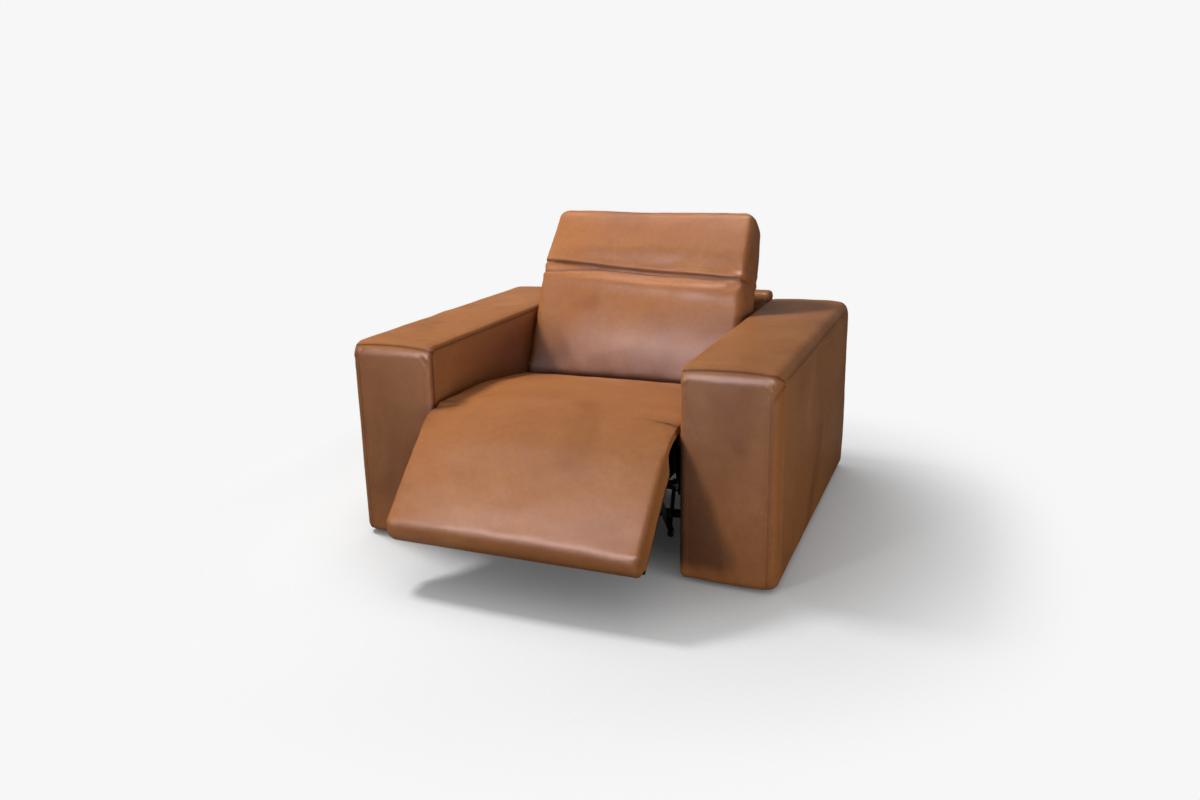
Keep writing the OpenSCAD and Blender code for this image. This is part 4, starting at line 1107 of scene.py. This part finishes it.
def build_lamps(looks):
    """Four lamps that only shape the leather, and two cool ones that only gleam in it."""
    for name, place, aim, size, power in (
            ("key", (-2.1, 0.0, 3.2), (0, 0, 0.3), (0.7, 0.7), looks.key),
            ("fill", (-1.1, -3.2, 0.9), (0.45, -0.39, 0.2), (0.4, 0.4), looks.fill),
            ("top", (-0.7, 0.6, 3.4), (0, 0, 0.4), (2.4, 2.4), looks.top),
            ("side", (3.2, -1.4, 0.6), (0.6, 0.1, 0.3), (1.6, 0.6), looks.side)):
        build_lamp(name, place, aim, size, power).visible_glossy = False
    for name, place, aim, size, power, spread in (
            ("gleam_front", (-0.2, -2.0, 1.2), (0, -0.2, 0.4), (2.2, 0.5), looks.gleam, math.pi),
            ("gleam_top", (0.0, 0.42, 2.4), (0, 0.42, 0.7), (1.4, 0.3), looks.gleam * TOP_SHARE, TOP_SPREAD)):
        holder = build_lamp(name, place, aim, size, power)
        holder.visible_diffuse = False
        holder.data.color = COOL_WHITE
        holder.data.spread = spread


def build_stage(looks):
    """Floor, backdrop and lamps, shown with plain colour handling."""
    build_floor(looks)
    build_backdrop(looks)
    build_lamps(looks)
    bpy.context.scene.view_settings.view_transform = "Standard"
    bpy.context.scene.view_settings.look = "None"


CAMERA_PLACE = (1.053, -2.617, 1.141)
CAMERA_TURN = 0.388
CAMERA_DIP = 0.272
CAMERA_ROLL = -0.018
CAMERA_LENS = 29.4


def build_camera():
    """The camera, from the front and the sitter's left, a little above the chair."""
    scene = bpy.context.scene
    lens = bpy.data.cameras.new("camera")
    lens.sensor_width = 36.0
    lens.lens = CAMERA_LENS
    lens.clip_end = 60.0
    camera = bpy.data.objects.new("camera", lens)
    scene.collection.objects.link(camera)
    level = math.cos(CAMERA_DIP)
    ahead = Vector((-math.sin(CAMERA_TURN) * level, math.cos(CAMERA_TURN) * level, -math.sin(CAMERA_DIP)))
    right = ahead.cross(Vector((0, 0, 1))).normalized()
    up = right.cross(ahead)
    right, up = (right * math.cos(CAMERA_ROLL) + up * math.sin(CAMERA_ROLL),
                 up * math.cos(CAMERA_ROLL) - right * math.sin(CAMERA_ROLL))
    turn = Matrix((right, up, -ahead)).transposed().to_4x4()
    camera.matrix_world = Matrix.Translation(CAMERA_PLACE) @ turn
    scene.camera = camera


# ---- Settings, operators and panel ----

class ReclinerLooks(bpy.types.PropertyGroup):
    """Colours of the leather and strengths of the lights"""
    leather: FloatVectorProperty(name="Leather", description="Main colour of the leather", subtype="COLOR",
                                 default=(0.340, 0.128, 0.038), min=0, max=1)
    burnish: FloatVectorProperty(name="Burnish", description="Colour of the darker patches", subtype="COLOR",
                                 default=(0.165, 0.048, 0.013), min=0, max=1)
    worn: FloatVectorProperty(name="Pulled", description="Colour where the leather is pulled pale",
                              subtype="COLOR", default=(0.420, 0.178, 0.062), min=0, max=1)
    backdrop: FloatProperty(name="Backdrop", description="Brightness of the backdrop", default=0.93,
                            min=0, max=1)
    floor: FloatProperty(name="Floor", description="Whiteness of the floor", default=0.75, min=0, max=1)
    sky: FloatProperty(name="Sky", description="Strength of the light from all round", default=0.13, min=0)
    key: FloatProperty(name="Key light", description="Power of the key light", default=140.0,
                       min=0, unit="POWER")
    fill: FloatProperty(name="Fill light", description="Power of the fill light", default=40.0,
                        min=0, unit="POWER")
    top: FloatProperty(name="Top light", description="Power of the top light", default=30.0,
                       min=0, unit="POWER")
    side: FloatProperty(name="Side light", description="Power of the side light", default=42.0,
                        min=0, unit="POWER")
    gleam: FloatProperty(name="Gleam", description="Power of the lights seen only as reflections",
                         default=60.0, min=0, unit="POWER")


class RECLINER_OT_camera(bpy.types.Operator):
    """Adds the camera"""
    bl_idname = "recliner.camera"
    bl_label = "Camera"

    def execute(self, context):
        build_camera()
        return {"FINISHED"}


class RECLINER_OT_stage(bpy.types.Operator):
    """Adds the floor, the lights and the backdrop"""
    bl_idname = "recliner.stage"
    bl_label = "Stage"

    def execute(self, context):
        build_stage(context.scene.recliner_looks)
        return {"FINISHED"}


class RECLINER_OT_arms(bpy.types.Operator):
    """Covers both arms in leather"""
    bl_idname = "recliner.arms"
    bl_label = "Arms"

    def execute(self, context):
        build_arm(1)
        build_arm(-1)
        return {"FINISHED"}


class RECLINER_OT_outside_back(bpy.types.Operator):
    """Covers the outside back"""
    bl_idname = "recliner.outside_back"
    bl_label = "Outside back"

    def execute(self, context):
        build_outside_back()
        return {"FINISHED"}


class RECLINER_OT_seat(bpy.types.Operator):
    """Covers the seat and the footrest in one piece of leather"""
    bl_idname = "recliner.seat"
    bl_label = "Seat and footrest"

    def execute(self, context):
        build_seat()
        return {"FINISHED"}


class RECLINER_OT_back(bpy.types.Operator):
    """Covers the back and the headrest in one piece of leather"""
    bl_idname = "recliner.back"
    bl_label = "Back and headrest"

    def execute(self, context):
        build_back()
        return {"FINISHED"}


class RECLINER_OT_frame(bpy.types.Operator):
    """Gives the frame's own parts their finishes"""
    bl_idname = "recliner.frame"
    bl_label = "Frame finishes"

    def execute(self, context):
        finish_frame()
        return {"FINISHED"}


ORDER = ("camera", "stage", "frame", "arms", "outside_back", "seat", "back")


class RECLINER_PT_panel(bpy.types.Panel):
    """The recliner's pieces and looks"""
    bl_label = "Recliner"
    bl_idname = "RECLINER_PT_panel"
    bl_space_type = "VIEW_3D"
    bl_region_type = "UI"
    bl_category = "Recliner"

    def draw(self, context):
        column = self.layout.column(align=True)
        for name in ORDER:
            column.operator(f"recliner.{name}")
        looks = context.scene.recliner_looks
        for name in ReclinerLooks.__annotations__:
            self.layout.prop(looks, name)


CLASSES = (ReclinerLooks, RECLINER_OT_camera, RECLINER_OT_stage, RECLINER_OT_arms, RECLINER_OT_outside_back,
           RECLINER_OT_seat, RECLINER_OT_back, RECLINER_OT_frame, RECLINER_PT_panel)


def register():
    for cls in CLASSES:
        bpy.utils.register_class(cls)
    bpy.types.Scene.recliner_looks = PointerProperty(type=ReclinerLooks)


def unregister():
    del bpy.types.Scene.recliner_looks
    for cls in reversed(CLASSES):
        bpy.utils.unregister_class(cls)


def main():
    register()
    for name in ORDER:
        getattr(bpy.ops.recliner, name)()
    bpy.context.view_layer.update()


if __name__ == "__main__":
    main()
